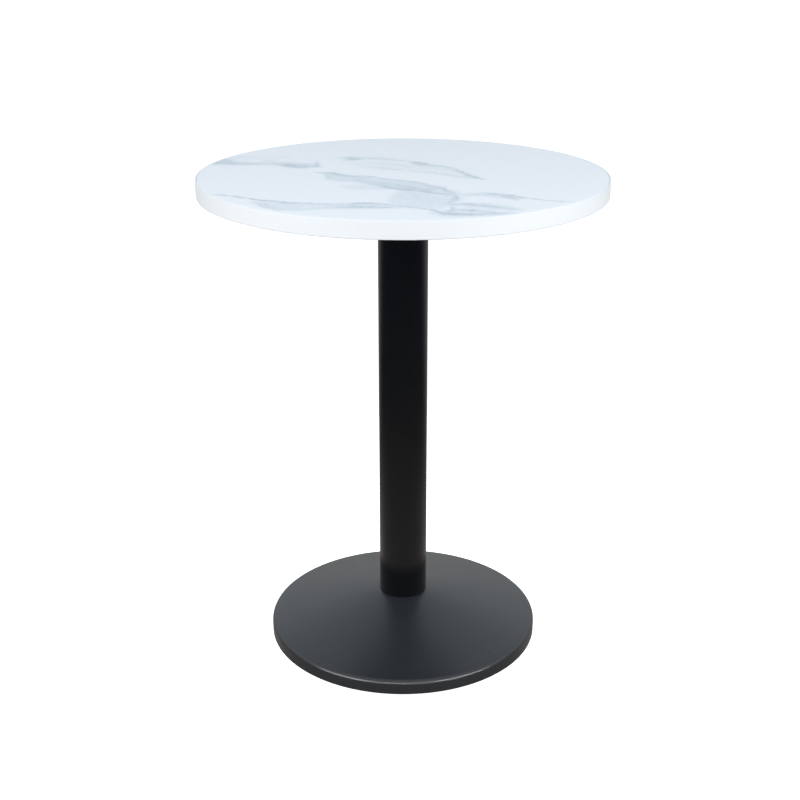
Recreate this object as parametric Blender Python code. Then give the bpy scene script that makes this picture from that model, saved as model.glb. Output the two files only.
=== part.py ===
"""Round bistro table: a laminate top screwed to a cast spider, on a steel tube column that one
tie rod clamps to a domed cast base standing on four screw levellers.

Metres, +Z up. The origin is on the floor, on the column's axis.
Run with: blender --background --python part.py
"""

import math

import bmesh
import bpy
from mathutils import Matrix, Vector

# ---------------------------------------------------------------- driving dimensions
CLEARANCE = 0.0003  # left between pieces that touch, for glue lines, seats and running fits

TABLE_HEIGHT = 0.762  # floor to the laminate's face

TOP_DIAMETER = 0.6096
TOP_THICKNESS = 0.0254
LAMINATE_THICKNESS = 0.0008
BACKER_THICKNESS = 0.0006
EDGE_BAND_THICKNESS = 0.0020
EDGE_BAND_ROUNDING = 0.0015

COLUMN_DIAMETER = 0.0762
COLUMN_WALL = 0.0020
COLUMN_END_CHAMFER = 0.0004
SPIGOT_SLACK = 0.0004  # radial, between a casting's spigot and the tube's bore

ARM_COUNT = 4
ARM_REACH = 0.180  # column axis to an arm's tip
ARM_WIDTH = 0.034
ARM_PLATE = 0.0040
ARM_RIB_THICKNESS = 0.0040
ARM_RIB_SETBACK = 0.0010  # rib's outer side, in from the arm's edge
ARM_RIB_DEPTH = 0.0180  # at the hub, below the arm's plate
ARM_RIB_TIP_DEPTH = 0.0015
ARM_RIB_END_INSET = 0.0260  # rib's end, in from the arm's tip
SPIDER_COLLAR_HEIGHT = 0.0240
SPIDER_COLLAR_MARGIN = 0.0020  # collar's radius beyond the tube's
SPIDER_SPIGOT_DEPTH = 0.0140
SPIDER_WEB = 0.0090

SCREW_DIAMETER = 0.0048
SCREW_LENGTH = 0.0190
SCREW_HEAD_DIAMETER = 0.0100
SCREW_HEAD_HEIGHT = 0.0030
SCREW_POINT = 0.0050
SCREW_TIP_INSET = 0.0150  # outer screw's axis, in from the arm's tip
SCREW_HUB_MARGIN = 0.0400  # inner screw's axis, out from the collar

ROD_DIAMETER = 0.0120
ROD_HOLE_SLACK = 0.0005
ROD_TAIL = 0.0040  # rod showing past each nut
NUT_ACROSS_FLATS = 0.0180
NUT_HEIGHT = 0.0100
TOP_NUT_HEIGHT = 0.0060
WASHER_DIAMETER = 0.0260
WASHER_THICKNESS = 0.0025
BASE_WASHER_DIAMETER = 0.0440
BASE_WASHER_THICKNESS = 0.0030
SPRING_WASHER_DIAMETER = 0.0200
SPRING_WASHER_THICKNESS = 0.0025
SPRING_WASHER_SPLIT = 0.0012
SOCKET_MARGIN = 0.0020  # room round a washer in its counterbore

BASE_DIAMETER = 0.4350
BASE_CLEARANCE = 0.0040  # floor to the rim's underside
BASE_RISE = 0.0680  # rim's underside to the column's seat
RIM_BAND = 0.0168  # the rim's upright outer face
RIM_WALL = 0.0070
RIM_CHAMFER = 0.0010
SHOULDER_RADIUS = 0.0080
DOME_CROWN = 0.0015
SHELL_THICKNESS = 0.0055
SEAT_LEDGE = 0.0022  # seat showing round the column
SEAT_ROUNDING = 0.0012
BASE_SPIGOT_HEIGHT = 0.0100
HUB_DIAMETER = 0.0600
HUB_WALL = 0.0070
HUB_WEB = 0.0120
HUB_FOOT = 0.0290  # rim's underside to the hub's underside
BASE_RIB_THICKNESS = 0.0050
BASE_RIB_LIFT = 0.0060  # rib's lower edge above the rim's underside

LEVELLER_COUNT = 4
LEVELLER_INSET = 0.0346  # leveller's axis, in from the rim's outer face
STEM_DIAMETER = 0.0078
STEM_ENGAGEMENT = 0.0150  # stem inside the boss when screwed home
STEM_HEX_ACROSS_FLATS = 0.0130
STEM_HEX_HEIGHT = 0.0040
STEM_NECK_DIAMETER = 0.0090
STEM_HEAD_DIAMETER = 0.0130
STEM_HEAD_THICKNESS = 0.0022
STEM_POINT_CHAMFER = 0.0008
BOSS_WALL = 0.0045
PAD_DIAMETER = 0.0300
PAD_HEIGHT = 0.0070
PAD_SOLE = 0.0022  # nylon left under the stem's head
PAD_LIP_SLACK = 0.0007
PAD_ROUNDING = 0.0015

FIRST_ANGLE = math.radians(45)  # of the first arm and the first leveller

# ---------------------------------------------------------------- places that follow
TOP_RADIUS = TOP_DIAMETER / 2
TOP_UNDERSIDE = TABLE_HEIGHT - TOP_THICKNESS
BOARD_RADIUS = TOP_RADIUS - EDGE_BAND_THICKNESS - CLEARANCE
CORE_BOTTOM = TOP_UNDERSIDE + BACKER_THICKNESS + CLEARANCE
CORE_TOP = TABLE_HEIGHT - LAMINATE_THICKNESS - CLEARANCE

COLUMN_RADIUS = COLUMN_DIAMETER / 2
SPIGOT_RADIUS = COLUMN_RADIUS - COLUMN_WALL - SPIGOT_SLACK
SEAT_HEIGHT = BASE_CLEARANCE + BASE_RISE
SEAT_RADIUS = COLUMN_RADIUS + SEAT_LEDGE
COLUMN_BOTTOM = SEAT_HEIGHT + CLEARANCE

SPIDER_TOP = TOP_UNDERSIDE - CLEARANCE
COLLAR_BOTTOM = SPIDER_TOP - SPIDER_COLLAR_HEIGHT
COLLAR_RADIUS = COLUMN_RADIUS + SPIDER_COLLAR_MARGIN
COLUMN_TOP = COLLAR_BOTTOM - CLEARANCE
ROD_RADIUS = ROD_DIAMETER / 2
ROD_HOLE_RADIUS = ROD_RADIUS + ROD_HOLE_SLACK
SOCKET_RADIUS = WASHER_DIAMETER / 2 + SOCKET_MARGIN
TOP_NUT_TOP = SPIDER_TOP - ROD_TAIL - CLEARANCE
TOP_NUT_BOTTOM = TOP_NUT_TOP - TOP_NUT_HEIGHT
TOP_WASHER_BOTTOM = TOP_NUT_BOTTOM - CLEARANCE - WASHER_THICKNESS
SOCKET_FLOOR = TOP_WASHER_BOTTOM - CLEARANCE

HUB_BOTTOM = BASE_CLEARANCE + HUB_FOOT
HUB_RADIUS = HUB_DIAMETER / 2
BASE_WASHER_BOTTOM = HUB_BOTTOM - CLEARANCE - BASE_WASHER_THICKNESS
SPRING_WASHER_BOTTOM = BASE_WASHER_BOTTOM - CLEARANCE - SPRING_WASHER_THICKNESS
BASE_NUT_BOTTOM = SPRING_WASHER_BOTTOM - CLEARANCE - NUT_HEIGHT
ROD_BOTTOM = BASE_NUT_BOTTOM - ROD_TAIL
ROD_TOP = TOP_NUT_TOP + ROD_TAIL

BASE_RADIUS = BASE_DIAMETER / 2
BAND_TOP = BASE_CLEARANCE + RIM_BAND
LEVELLER_RADIUS = BASE_RADIUS - LEVELLER_INSET
STEM_RADIUS = STEM_DIAMETER / 2
STEM_HOLE_RADIUS = STEM_RADIUS + CLEARANCE
BOSS_RADIUS = STEM_HOLE_RADIUS + BOSS_WALL
HEX_BOTTOM = PAD_HEIGHT + CLEARANCE
HEX_TOP = HEX_BOTTOM + STEM_HEX_HEIGHT
BOSS_BOTTOM = HEX_TOP + CLEARANCE
STEM_TOP = BOSS_BOTTOM + STEM_ENGAGEMENT
HEAD_BOTTOM = PAD_SOLE + CLEARANCE
HEAD_TOP = HEAD_BOTTOM + STEM_HEAD_THICKNESS

WIDE_SEGMENTS = 72  # round the tabletop
BASE_SEGMENTS = 60
COLUMN_SEGMENTS = 48
SMALL_SEGMENTS = 24
SCREW_SEGMENTS = 12
SCREW_HEAD_STEPS = 3
ROUNDING_STEPS = 2
ARM_TIP_STEPS = 8
SHOULDER_STEPS = 4
UNDERSIDE_STEPS = 4
DOME_STEPS = 5
SMOOTH_ANGLE = math.radians(32)
WELD = 0.000001

# ---------------------------------------------------------------- finishes
FINISHES = {
    "marble_print": ((0.76, 0.82, 0.88), 0.28, 0.0),
    "white_edging": ((0.87, 0.90, 0.92), 0.40, 0.0),
    "particle_board": ((0.52, 0.38, 0.24), 0.85, 0.0),
    "backer_paper": ((0.80, 0.80, 0.78), 0.60, 0.0),
    "black_cast_iron": ((0.030, 0.031, 0.033), 0.50, 0.3),
    "black_powder_coat": ((0.012, 0.013, 0.014), 0.45, 0.0),
    "zinc_plate": ((0.62, 0.63, 0.65), 0.35, 1.0),
    "black_nylon": ((0.020, 0.020, 0.021), 0.60, 0.0),
}


def finish(name):
    """The finish of that name as a material, made once."""
    material = bpy.data.materials.get(name)
    if material is None:
        colour, roughness, metallic = FINISHES[name]
        material = bpy.data.materials.new(name)
        material.use_nodes = True
        shader = material.node_tree.nodes["Principled BSDF"]
        shader.inputs["Base Color"].default_value = (*colour, 1.0)
        shader.inputs["Roughness"].default_value = roughness
        shader.inputs["Metallic"].default_value = metallic
        material.diffuse_color = (*colour, 1.0)
    return material


# ---------------------------------------------------------------- modelling helpers
def link(name, shape, parent):
    """Turns a bmesh into a linked object whose faces point outwards."""
    mesh = bpy.data.meshes.new(name)
    bmesh.ops.recalc_face_normals(shape, faces=shape.faces)
    shape.to_mesh(mesh)
    shape.free()
    item = bpy.data.objects.new(name, mesh)
    bpy.context.scene.collection.objects.link(item)
    item.parent = parent
    return item


def place(name, shape, finish_name, parent=None):
    """Links a bmesh as a named part, shaded smooth with crisp edges."""
    part = link(name, shape, parent)
    part.data.shade_smooth()
    part.data.set_sharp_from_angle(angle=SMOOTH_ANGLE)
    part.data.materials.append(finish(finish_name))
    return part


def helper(name, shape, parent=None):
    """A cutter or a piece to be joined on: it guides a Boolean and isn't a part."""
    guide = link(name, shape, parent)
    guide.hide_render = True
    guide.display_type = "WIRE"
    return guide


def combine(part, guide, operation):
    """Adds a live Boolean of the guide to the part."""
    modifier = part.modifiers.new(f"{operation.lower()}_{guide.name}", "BOOLEAN")
    modifier.operation = operation
    modifier.solver = "EXACT"
    modifier.object = guide
    return part


def turned(profile, segments):
    """Revolves a closed outline of (radius, height) points about Z. Points may lie on the axis."""
    shape = bmesh.new()
    corners = [shape.verts.new((radius, 0.0, height)) for radius, height in profile]
    edges = []
    for first, second in zip(corners, corners[1:] + corners[:1]):
        on_axis = first.co.x < WELD and second.co.x < WELD
        if not on_axis:
            edges.append(shape.edges.new((first, second)))
    bmesh.ops.spin(
        shape,
        geom=corners + edges,
        cent=(0, 0, 0),
        axis=(0, 0, 1),
        angle=math.tau,
        steps=segments,
        use_merge=True,
    )
    bmesh.ops.remove_doubles(shape, verts=shape.verts, dist=WELD)
    return shape


def arc(centre_radius, centre_height, radius, start, end, steps):
    """Points on a round edge, as (radius, height), with angles in degrees from outwards."""
    points = []
    for step in range(steps + 1):
        angle = math.radians(start + (end - start) * step / steps)
        points.append(
            (centre_radius + radius * math.cos(angle), centre_height + radius * math.sin(angle))
        )
    return points


def add_cylinder(shape, x, y, radius, bottom, top, segments=SMALL_SEGMENTS):
    """Adds an upright closed cylinder to a bmesh."""
    bmesh.ops.create_cone(
        shape,
        cap_ends=True,
        cap_tris=True,
        segments=segments,
        radius1=radius,
        radius2=radius,
        depth=top - bottom,
        matrix=Matrix.Translation((x, y, (top + bottom) / 2)),
    )


def extruded(corners, sweep):
    """Sweeps a flat outline of 3-D points along a vector into a closed bmesh."""
    shape = bmesh.new()
    face = shape.faces.new([shape.verts.new(corner) for corner in corners])
    swept = bmesh.ops.extrude_face_region(shape, geom=[face])
    moved = [item for item in swept["geom"] if isinstance(item, bmesh.types.BMVert)]
    bmesh.ops.translate(shape, verts=moved, vec=sweep)
    return shape


def swung(shape, angle):
    """Turns a bmesh about the column's axis."""
    turn = Matrix.Rotation(angle, 3, "Z")
    bmesh.ops.rotate(shape, verts=shape.verts, cent=(0, 0, 0), matrix=turn)
    return shape


def upright_web(outline, width, offset, angle):
    """A web with a (radius, height) outline, offset sideways from the radius at that angle."""
    side = offset - width / 2
    corners = [(radius, side, height) for radius, height in outline]
    return swung(extruded(corners, (0, width, 0)), angle)


def hex_prism(across_flats, bottom, top):
    """A six-sided bar."""
    radius = across_flats / math.sqrt(3)
    angles = [math.radians(60 * side) for side in range(6)]
    corners = [(radius * math.cos(angle), radius * math.sin(angle), bottom) for angle in angles]
    return extruded(corners, (0, 0, top - bottom))


def spread_angles(count):
    """Evenly spaced directions about the column, from the first one."""
    return [FIRST_ANGLE + math.tau * index / count for index in range(count)]


# ---------------------------------------------------------------- tabletop
def screw_places():
    """Every spider screw's (x, y): an inner and an outer one on each arm."""
    radii = (COLLAR_RADIUS + SCREW_HUB_MARGIN, ARM_REACH - SCREW_TIP_INSET)
    return [
        (radius * math.cos(angle), radius * math.sin(angle))
        for angle in spread_angles(ARM_COUNT)
        for radius in radii
    ]


def pilot_holes():
    """Cutter for the holes that the spider's screws take in the board and its backer."""
    shape = bmesh.new()
    radius = SCREW_DIAMETER / 2 + CLEARANCE
    start = TOP_UNDERSIDE - 2 * CLEARANCE
    end = SPIDER_TOP - ARM_PLATE + SCREW_LENGTH + CLEARANCE
    for x, y in screw_places():
        add_cylinder(shape, x, y, radius, start, end, SCREW_SEGMENTS)
    return helper("pilot_hole_cutter", shape)


def disc(radius, bottom, top):
    """A flat round board or sheet."""
    return turned([(0, bottom), (radius, bottom), (radius, top), (0, top)], WIDE_SEGMENTS)


def make_tabletop():
    """The laminated board: core, printed face, backer sheet and edge band."""
    holes = pilot_holes()
    core = place("top_core", disc(BOARD_RADIUS, CORE_BOTTOM, CORE_TOP), "particle_board")
    combine(core, holes, "DIFFERENCE")
    face = disc(BOARD_RADIUS, TABLE_HEIGHT - LAMINATE_THICKNESS, TABLE_HEIGHT)
    place("marble_laminate", face, "marble_print")
    sheet = disc(BOARD_RADIUS, TOP_UNDERSIDE, TOP_UNDERSIDE + BACKER_THICKNESS)
    combine(place("backer_sheet", sheet, "backer_paper"), holes, "DIFFERENCE")

    rounding = EDGE_BAND_ROUNDING
    outer = TOP_RADIUS - rounding
    inner = TOP_RADIUS - EDGE_BAND_THICKNESS
    profile = [(inner, TABLE_HEIGHT), (inner, TOP_UNDERSIDE)]
    profile += arc(outer, TOP_UNDERSIDE + rounding, rounding, -90, 0, ROUNDING_STEPS)
    profile += arc(outer, TABLE_HEIGHT - rounding, rounding, 0, 90, ROUNDING_STEPS)
    place("edge_band", turned(profile, WIDE_SEGMENTS), "white_edging")


# ---------------------------------------------------------------- spider and its screws
def make_spider():
    """The casting that carries the top: a hub with a counterbored socket, and ribbed arms."""
    spigot_bottom = COLLAR_BOTTOM - SPIDER_SPIGOT_DEPTH
    cup_radius = SPIGOT_RADIUS - COLUMN_WALL * 2
    hub = turned(
        [
            (ROD_HOLE_RADIUS, SOCKET_FLOOR - SPIDER_WEB),
            (cup_radius, SOCKET_FLOOR - SPIDER_WEB),
            (cup_radius, spigot_bottom),
            (SPIGOT_RADIUS, spigot_bottom),
            (SPIGOT_RADIUS, COLLAR_BOTTOM),
            (COLLAR_RADIUS, COLLAR_BOTTOM),
            (COLLAR_RADIUS, SPIDER_TOP),
            (SOCKET_RADIUS, SPIDER_TOP),
            (SOCKET_RADIUS, SOCKET_FLOOR),
            (ROD_HOLE_RADIUS, SOCKET_FLOOR),
        ],
        COLUMN_SEGMENTS,
    )
    spider = place("mounting_spider", hub, "black_cast_iron")

    root = (SOCKET_RADIUS + COLLAR_RADIUS) / 2  # arms grow from the middle of the hub's wall
    half_width = ARM_WIDTH / 2
    plate_bottom = SPIDER_TOP - ARM_PLATE
    embed = ARM_PLATE / 2
    rib_end = ARM_REACH - ARM_RIB_END_INSET
    rib_middle = half_width - ARM_RIB_SETBACK - ARM_RIB_THICKNESS / 2
    rib = [
        (root, plate_bottom + embed),
        (root, plate_bottom - ARM_RIB_DEPTH),
        (COLLAR_RADIUS, plate_bottom - ARM_RIB_DEPTH),
        (rib_end, plate_bottom - ARM_RIB_TIP_DEPTH),
        (rib_end, plate_bottom + embed),
    ]
    tip = arc(ARM_REACH - half_width, 0.0, half_width, -90, 90, ARM_TIP_STEPS)
    outline = [(root, -half_width), *tip, (root, half_width)]
    corners = [(x, y, plate_bottom) for x, y in outline]
    for number, angle in enumerate(spread_angles(ARM_COUNT), 1):
        plate = swung(extruded(corners, (0, 0, ARM_PLATE)), angle)
        combine(spider, helper(f"arm_plate_{number}", plate), "UNION")
        for side, offset in (("left", -rib_middle), ("right", rib_middle)):
            web = upright_web(rib, ARM_RIB_THICKNESS, offset, angle)
            combine(spider, helper(f"arm_rib_{number}_{side}", web), "UNION")

    holes = bmesh.new()
    radius = SCREW_DIAMETER / 2 + CLEARANCE
    for x, y in screw_places():
        bottom = plate_bottom - ARM_PLATE
        add_cylinder(holes, x, y, radius, bottom, SPIDER_TOP + ARM_PLATE, SCREW_SEGMENTS)
    combine(spider, helper("arm_hole_cutter", holes), "DIFFERENCE")


def make_screws():
    """Eight pan-head wood screws, driven up through the arms into the board."""
    seat = SPIDER_TOP - ARM_PLATE - CLEARANCE
    shank = SCREW_DIAMETER / 2
    head = SCREW_HEAD_DIAMETER / 2
    tip = seat + SCREW_LENGTH
    profile = [(0, seat - SCREW_HEAD_HEIGHT)]
    for step in range(1, SCREW_HEAD_STEPS):
        angle = math.pi / 2 * step / SCREW_HEAD_STEPS
        profile.append((head * math.sin(angle), seat - SCREW_HEAD_HEIGHT * math.cos(angle)))
    profile += [(head, seat), (shank, seat), (shank, tip - SCREW_POINT), (0, tip)]
    for number, (x, y) in enumerate(screw_places(), 1):
        shape = turned(profile, SCREW_SEGMENTS)
        place(f"spider_screw_{number}", shape, "zinc_plate").location = (x, y, 0)


# ---------------------------------------------------------------- column and tie rod
def make_column():
    """The tube, seated on the base's ledge and capped by the spider's collar."""
    bore = COLUMN_RADIUS - COLUMN_WALL
    trim = COLUMN_END_CHAMFER
    profile = [
        (bore, COLUMN_BOTTOM),
        (COLUMN_RADIUS - trim, COLUMN_BOTTOM),
        (COLUMN_RADIUS, COLUMN_BOTTOM + trim),
        (COLUMN_RADIUS, COLUMN_TOP - trim),
        (COLUMN_RADIUS - trim, COLUMN_TOP),
        (bore, COLUMN_TOP),
    ]
    place("column_tube", turned(profile, COLUMN_SEGMENTS), "black_powder_coat")


def ring(inner, outer, bottom, top):
    """A plain washer."""
    profile = [(inner, bottom), (outer, bottom), (outer, top), (inner, top)]
    return turned(profile, SMALL_SEGMENTS)


def nut(name, bottom, top, bore):
    """A hexagon nut with a round bore that clears the rod."""
    part = place(name, hex_prism(NUT_ACROSS_FLATS, bottom, top), "zinc_plate")
    cutter = bmesh.new()
    add_cylinder(cutter, 0, 0, bore, bottom - NUT_HEIGHT, top + NUT_HEIGHT)
    combine(part, helper(f"{name}_bore", cutter), "DIFFERENCE")


def make_tie_rod():
    """The rod that clamps spider, column and base, with the nuts and washers at its two ends."""
    trim = STEM_POINT_CHAMFER
    profile = [
        (0, ROD_BOTTOM),
        (ROD_RADIUS - trim, ROD_BOTTOM),
        (ROD_RADIUS, ROD_BOTTOM + trim),
        (ROD_RADIUS, ROD_TOP - trim),
        (ROD_RADIUS - trim, ROD_TOP),
        (0, ROD_TOP),
    ]
    place("tie_rod", turned(profile, SMALL_SEGMENTS), "zinc_plate")

    bore = ROD_RADIUS + CLEARANCE
    top_washer = ring(
        bore, WASHER_DIAMETER / 2, TOP_WASHER_BOTTOM, TOP_WASHER_BOTTOM + WASHER_THICKNESS
    )
    place("tie_rod_top_washer", top_washer, "zinc_plate")
    nut("tie_rod_top_nut", TOP_NUT_BOTTOM, TOP_NUT_TOP, bore)

    base_washer = ring(
        bore,
        BASE_WASHER_DIAMETER / 2,
        BASE_WASHER_BOTTOM,
        BASE_WASHER_BOTTOM + BASE_WASHER_THICKNESS,
    )
    place("base_washer", base_washer, "zinc_plate")
    spring_ring = ring(
        bore,
        SPRING_WASHER_DIAMETER / 2,
        SPRING_WASHER_BOTTOM,
        SPRING_WASHER_BOTTOM + SPRING_WASHER_THICKNESS,
    )
    spring = place("base_spring_washer", spring_ring, "zinc_plate")
    split = bmesh.new()
    middle = SPRING_WASHER_BOTTOM + SPRING_WASHER_THICKNESS / 2
    reach = SPRING_WASHER_DIAMETER
    bmesh.ops.create_cube(
        split,
        size=1.0,
        matrix=Matrix.Translation((reach / 2, 0, middle))
        @ Matrix.Rotation(math.radians(25), 4, "X")
        @ Matrix.Diagonal((reach, SPRING_WASHER_SPLIT, SPRING_WASHER_THICKNESS * 4, 1)),
    )
    combine(spring, helper("spring_washer_split", split), "DIFFERENCE")
    nut("base_nut", BASE_NUT_BOTTOM, BASE_NUT_BOTTOM + NUT_HEIGHT, bore)


# ---------------------------------------------------------------- base casting
DOME_RUN = BASE_RADIUS - SHOULDER_RADIUS - SEAT_RADIUS
DOME_RISE = SEAT_HEIGHT - BAND_TOP - SHOULDER_RADIUS
DOME_SLOPE = math.atan2(DOME_RISE, DOME_RUN) + math.atan2(4 * DOME_CROWN, DOME_RUN)
DOME_EDGE_RADIUS = BASE_RADIUS - SHOULDER_RADIUS * (1 - math.sin(DOME_SLOPE))
DOME_EDGE_HEIGHT = BAND_TOP + SHOULDER_RADIUS * math.cos(DOME_SLOPE)
SHELL_UPRIGHT = SHELL_THICKNESS / math.cos(DOME_SLOPE)


def dome_height(radius):
    """Height of the dome's outer face: a cone from the seat to the rim, gently crowned."""
    share = (DOME_EDGE_RADIUS - radius) / (DOME_EDGE_RADIUS - SEAT_RADIUS)
    straight = DOME_EDGE_HEIGHT + (SEAT_HEIGHT - DOME_EDGE_HEIGHT) * share
    return straight + 4 * DOME_CROWN * share * (1 - share)


def shell_middle(radius):
    """Height half way through the dome's wall."""
    return dome_height(radius) - SHELL_UPRIGHT / 2


def base_profile():
    """The casting's outline: hub, underside, rim, dome, seat and hollow spigot."""
    inner_rim = BASE_RADIUS - RIM_WALL
    cup_radius = HUB_RADIUS - HUB_WALL
    spigot_top = SEAT_HEIGHT + BASE_SPIGOT_HEIGHT
    points = [(ROD_HOLE_RADIUS, HUB_BOTTOM), (HUB_RADIUS, HUB_BOTTOM)]
    for step in range(UNDERSIDE_STEPS + 1):
        radius = HUB_RADIUS + (inner_rim - HUB_RADIUS) * step / UNDERSIDE_STEPS
        points.append((radius, dome_height(max(radius, SEAT_RADIUS)) - SHELL_UPRIGHT))
    points += [
        (inner_rim, BASE_CLEARANCE),
        (BASE_RADIUS - RIM_CHAMFER, BASE_CLEARANCE),
        (BASE_RADIUS, BASE_CLEARANCE + RIM_CHAMFER),
    ]
    points += arc(
        BASE_RADIUS - SHOULDER_RADIUS,
        BAND_TOP,
        SHOULDER_RADIUS,
        0,
        90 - math.degrees(DOME_SLOPE),
        SHOULDER_STEPS,
    )
    for step in range(1, DOME_STEPS):
        radius = DOME_EDGE_RADIUS + (SEAT_RADIUS - DOME_EDGE_RADIUS) * step / DOME_STEPS
        points.append((radius, dome_height(radius)))
    points += [
        (SEAT_RADIUS, SEAT_HEIGHT - SEAT_ROUNDING / 2),
        (SEAT_RADIUS - SEAT_ROUNDING, SEAT_HEIGHT),
        (SPIGOT_RADIUS, SEAT_HEIGHT),
        (SPIGOT_RADIUS, spigot_top - SEAT_ROUNDING),
        (SPIGOT_RADIUS - SEAT_ROUNDING, spigot_top),
        (cup_radius, spigot_top),
        (cup_radius, HUB_BOTTOM + HUB_WEB),
        (ROD_HOLE_RADIUS, HUB_BOTTOM + HUB_WEB),
    ]
    return points


def boss_shape(angle):
    """A leveller's boss, whose top follows the dome so that it ends inside the wall."""
    shape = bmesh.new()
    x = LEVELLER_RADIUS * math.cos(angle)
    y = LEVELLER_RADIUS * math.sin(angle)
    add_cylinder(shape, x, y, BOSS_RADIUS, BOSS_BOTTOM, shell_middle(LEVELLER_RADIUS))
    for corner in shape.verts:
        if corner.co.z > BOSS_BOTTOM + WELD:
            corner.co.z = shell_middle(math.hypot(corner.co.x, corner.co.y))
    return shape


def make_base():
    """The domed casting, with a rib from its hub to each tapped leveller boss."""
    base = place("base_casting", turned(base_profile(), BASE_SEGMENTS), "black_cast_iron")
    rib_foot = BASE_CLEARANCE + BASE_RIB_LIFT
    inner = HUB_RADIUS - HUB_WALL / 2
    outer = LEVELLER_RADIUS
    knee = HUB_RADIUS + HUB_WALL
    rib = [
        (inner, HUB_BOTTOM + HUB_WALL),
        (knee, HUB_BOTTOM + HUB_WALL),
        (outer, max(rib_foot, BOSS_BOTTOM + BASE_RIB_LIFT / 2)),
        (outer, shell_middle(outer)),
        ((outer + SEAT_RADIUS) / 2, shell_middle((outer + SEAT_RADIUS) / 2)),
        (SEAT_RADIUS, shell_middle(SEAT_RADIUS)),
        (inner, shell_middle(SEAT_RADIUS)),
    ]
    holes = bmesh.new()
    for number, angle in enumerate(spread_angles(LEVELLER_COUNT), 1):
        web = upright_web(rib, BASE_RIB_THICKNESS, 0.0, angle)
        combine(base, helper(f"base_rib_{number}", web), "UNION")
        combine(base, helper(f"leveller_boss_{number}", boss_shape(angle)), "UNION")
        add_cylinder(
            holes,
            LEVELLER_RADIUS * math.cos(angle),
            LEVELLER_RADIUS * math.sin(angle),
            STEM_HOLE_RADIUS,
            BOSS_BOTTOM - BOSS_WALL,
            STEM_TOP + CLEARANCE,
        )
    combine(base, helper("leveller_hole_cutter", holes), "DIFFERENCE")


# ---------------------------------------------------------------- levellers
def stem_body():
    """The screw's turned body: the head held in the pad, its neck, and the shank in the boss."""
    trim = STEM_POINT_CHAMFER
    neck = STEM_NECK_DIAMETER / 2
    head = STEM_HEAD_DIAMETER / 2
    middle = HEX_BOTTOM + STEM_HEX_HEIGHT / 2
    profile = [
        (0, HEAD_BOTTOM),
        (head, HEAD_BOTTOM),
        (head, HEAD_TOP),
        (neck, HEAD_TOP),
        (neck, middle),
        (STEM_RADIUS, middle),
        (STEM_RADIUS, STEM_TOP - trim),
        (STEM_RADIUS - trim, STEM_TOP),
        (0, STEM_TOP),
    ]
    return turned(profile, SMALL_SEGMENTS)


def pad_body():
    """The nylon foot: a round sole with a pocket whose lip holds the stem's head."""
    pocket = STEM_HEAD_DIAMETER / 2 + CLEARANCE
    lip = STEM_NECK_DIAMETER / 2 + PAD_LIP_SLACK
    outer = PAD_DIAMETER / 2
    rounding = PAD_ROUNDING
    profile = [(0, 0), (outer - rounding / 2, 0), (outer, rounding / 2)]
    profile += arc(outer - rounding, PAD_HEIGHT - rounding, rounding, 0, 90, ROUNDING_STEPS)
    profile += [
        (lip, PAD_HEIGHT),
        (lip, HEAD_TOP + CLEARANCE),
        (pocket, HEAD_TOP + CLEARANCE),
        (pocket, PAD_SOLE),
        (0, PAD_SOLE),
    ]
    return turned(profile, SMALL_SEGMENTS)


def make_levellers():
    """A screw stem and a swivelling pad at each boss, under an empty on the screw's axis."""
    for number, angle in enumerate(spread_angles(LEVELLER_COUNT), 1):
        axis = bpy.data.objects.new(f"leveller_axis_{number}", None)
        bpy.context.scene.collection.objects.link(axis)
        axis.location = Vector((math.cos(angle), math.sin(angle), 0)) * LEVELLER_RADIUS
        place(f"leveller_pad_{number}", pad_body(), "black_nylon", axis)
        stem = place(f"leveller_stem_{number}", stem_body(), "zinc_plate", axis)
        hexagon = hex_prism(STEM_HEX_ACROSS_FLATS, HEX_BOTTOM, HEX_TOP)
        combine(stem, helper(f"stem_hexagon_{number}", hexagon, axis), "UNION")


def clear_scene():
    """Removes what the startup file left."""
    for item in list(bpy.data.objects):
        bpy.data.objects.remove(item)


def main():
    clear_scene()
    make_tabletop()
    make_spider()
    make_screws()
    make_column()
    make_tie_rod()
    make_base()
    make_levellers()


main()
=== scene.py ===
"""Looks of a round bistro table: marble-print top, black steel column, domed cast base.

The solids that move and carry load come from the frame. Each operator below models one piece, or
one group of like pieces, over them. The stage operator sets the floor, the lights and the camera.
"""

import math

import bmesh
import bpy
from mathutils import Matrix, Vector


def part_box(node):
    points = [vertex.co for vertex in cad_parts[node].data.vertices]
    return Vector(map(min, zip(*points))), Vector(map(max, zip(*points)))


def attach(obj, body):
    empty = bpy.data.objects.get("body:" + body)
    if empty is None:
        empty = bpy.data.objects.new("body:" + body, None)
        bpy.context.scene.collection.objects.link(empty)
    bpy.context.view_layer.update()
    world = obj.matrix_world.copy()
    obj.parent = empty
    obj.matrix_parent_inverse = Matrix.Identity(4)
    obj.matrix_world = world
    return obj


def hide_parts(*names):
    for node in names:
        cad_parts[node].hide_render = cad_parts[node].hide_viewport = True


bl_info = {
    "name": "Bistro Table",
    "version": (1, 0, 0),
    "blender": (4, 5, 0),
    "location": "3D View > Sidebar > Bistro Table",
    "description": "Models a round pedestal table piece by piece over its working frame",
    "category": "Object",
}

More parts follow.
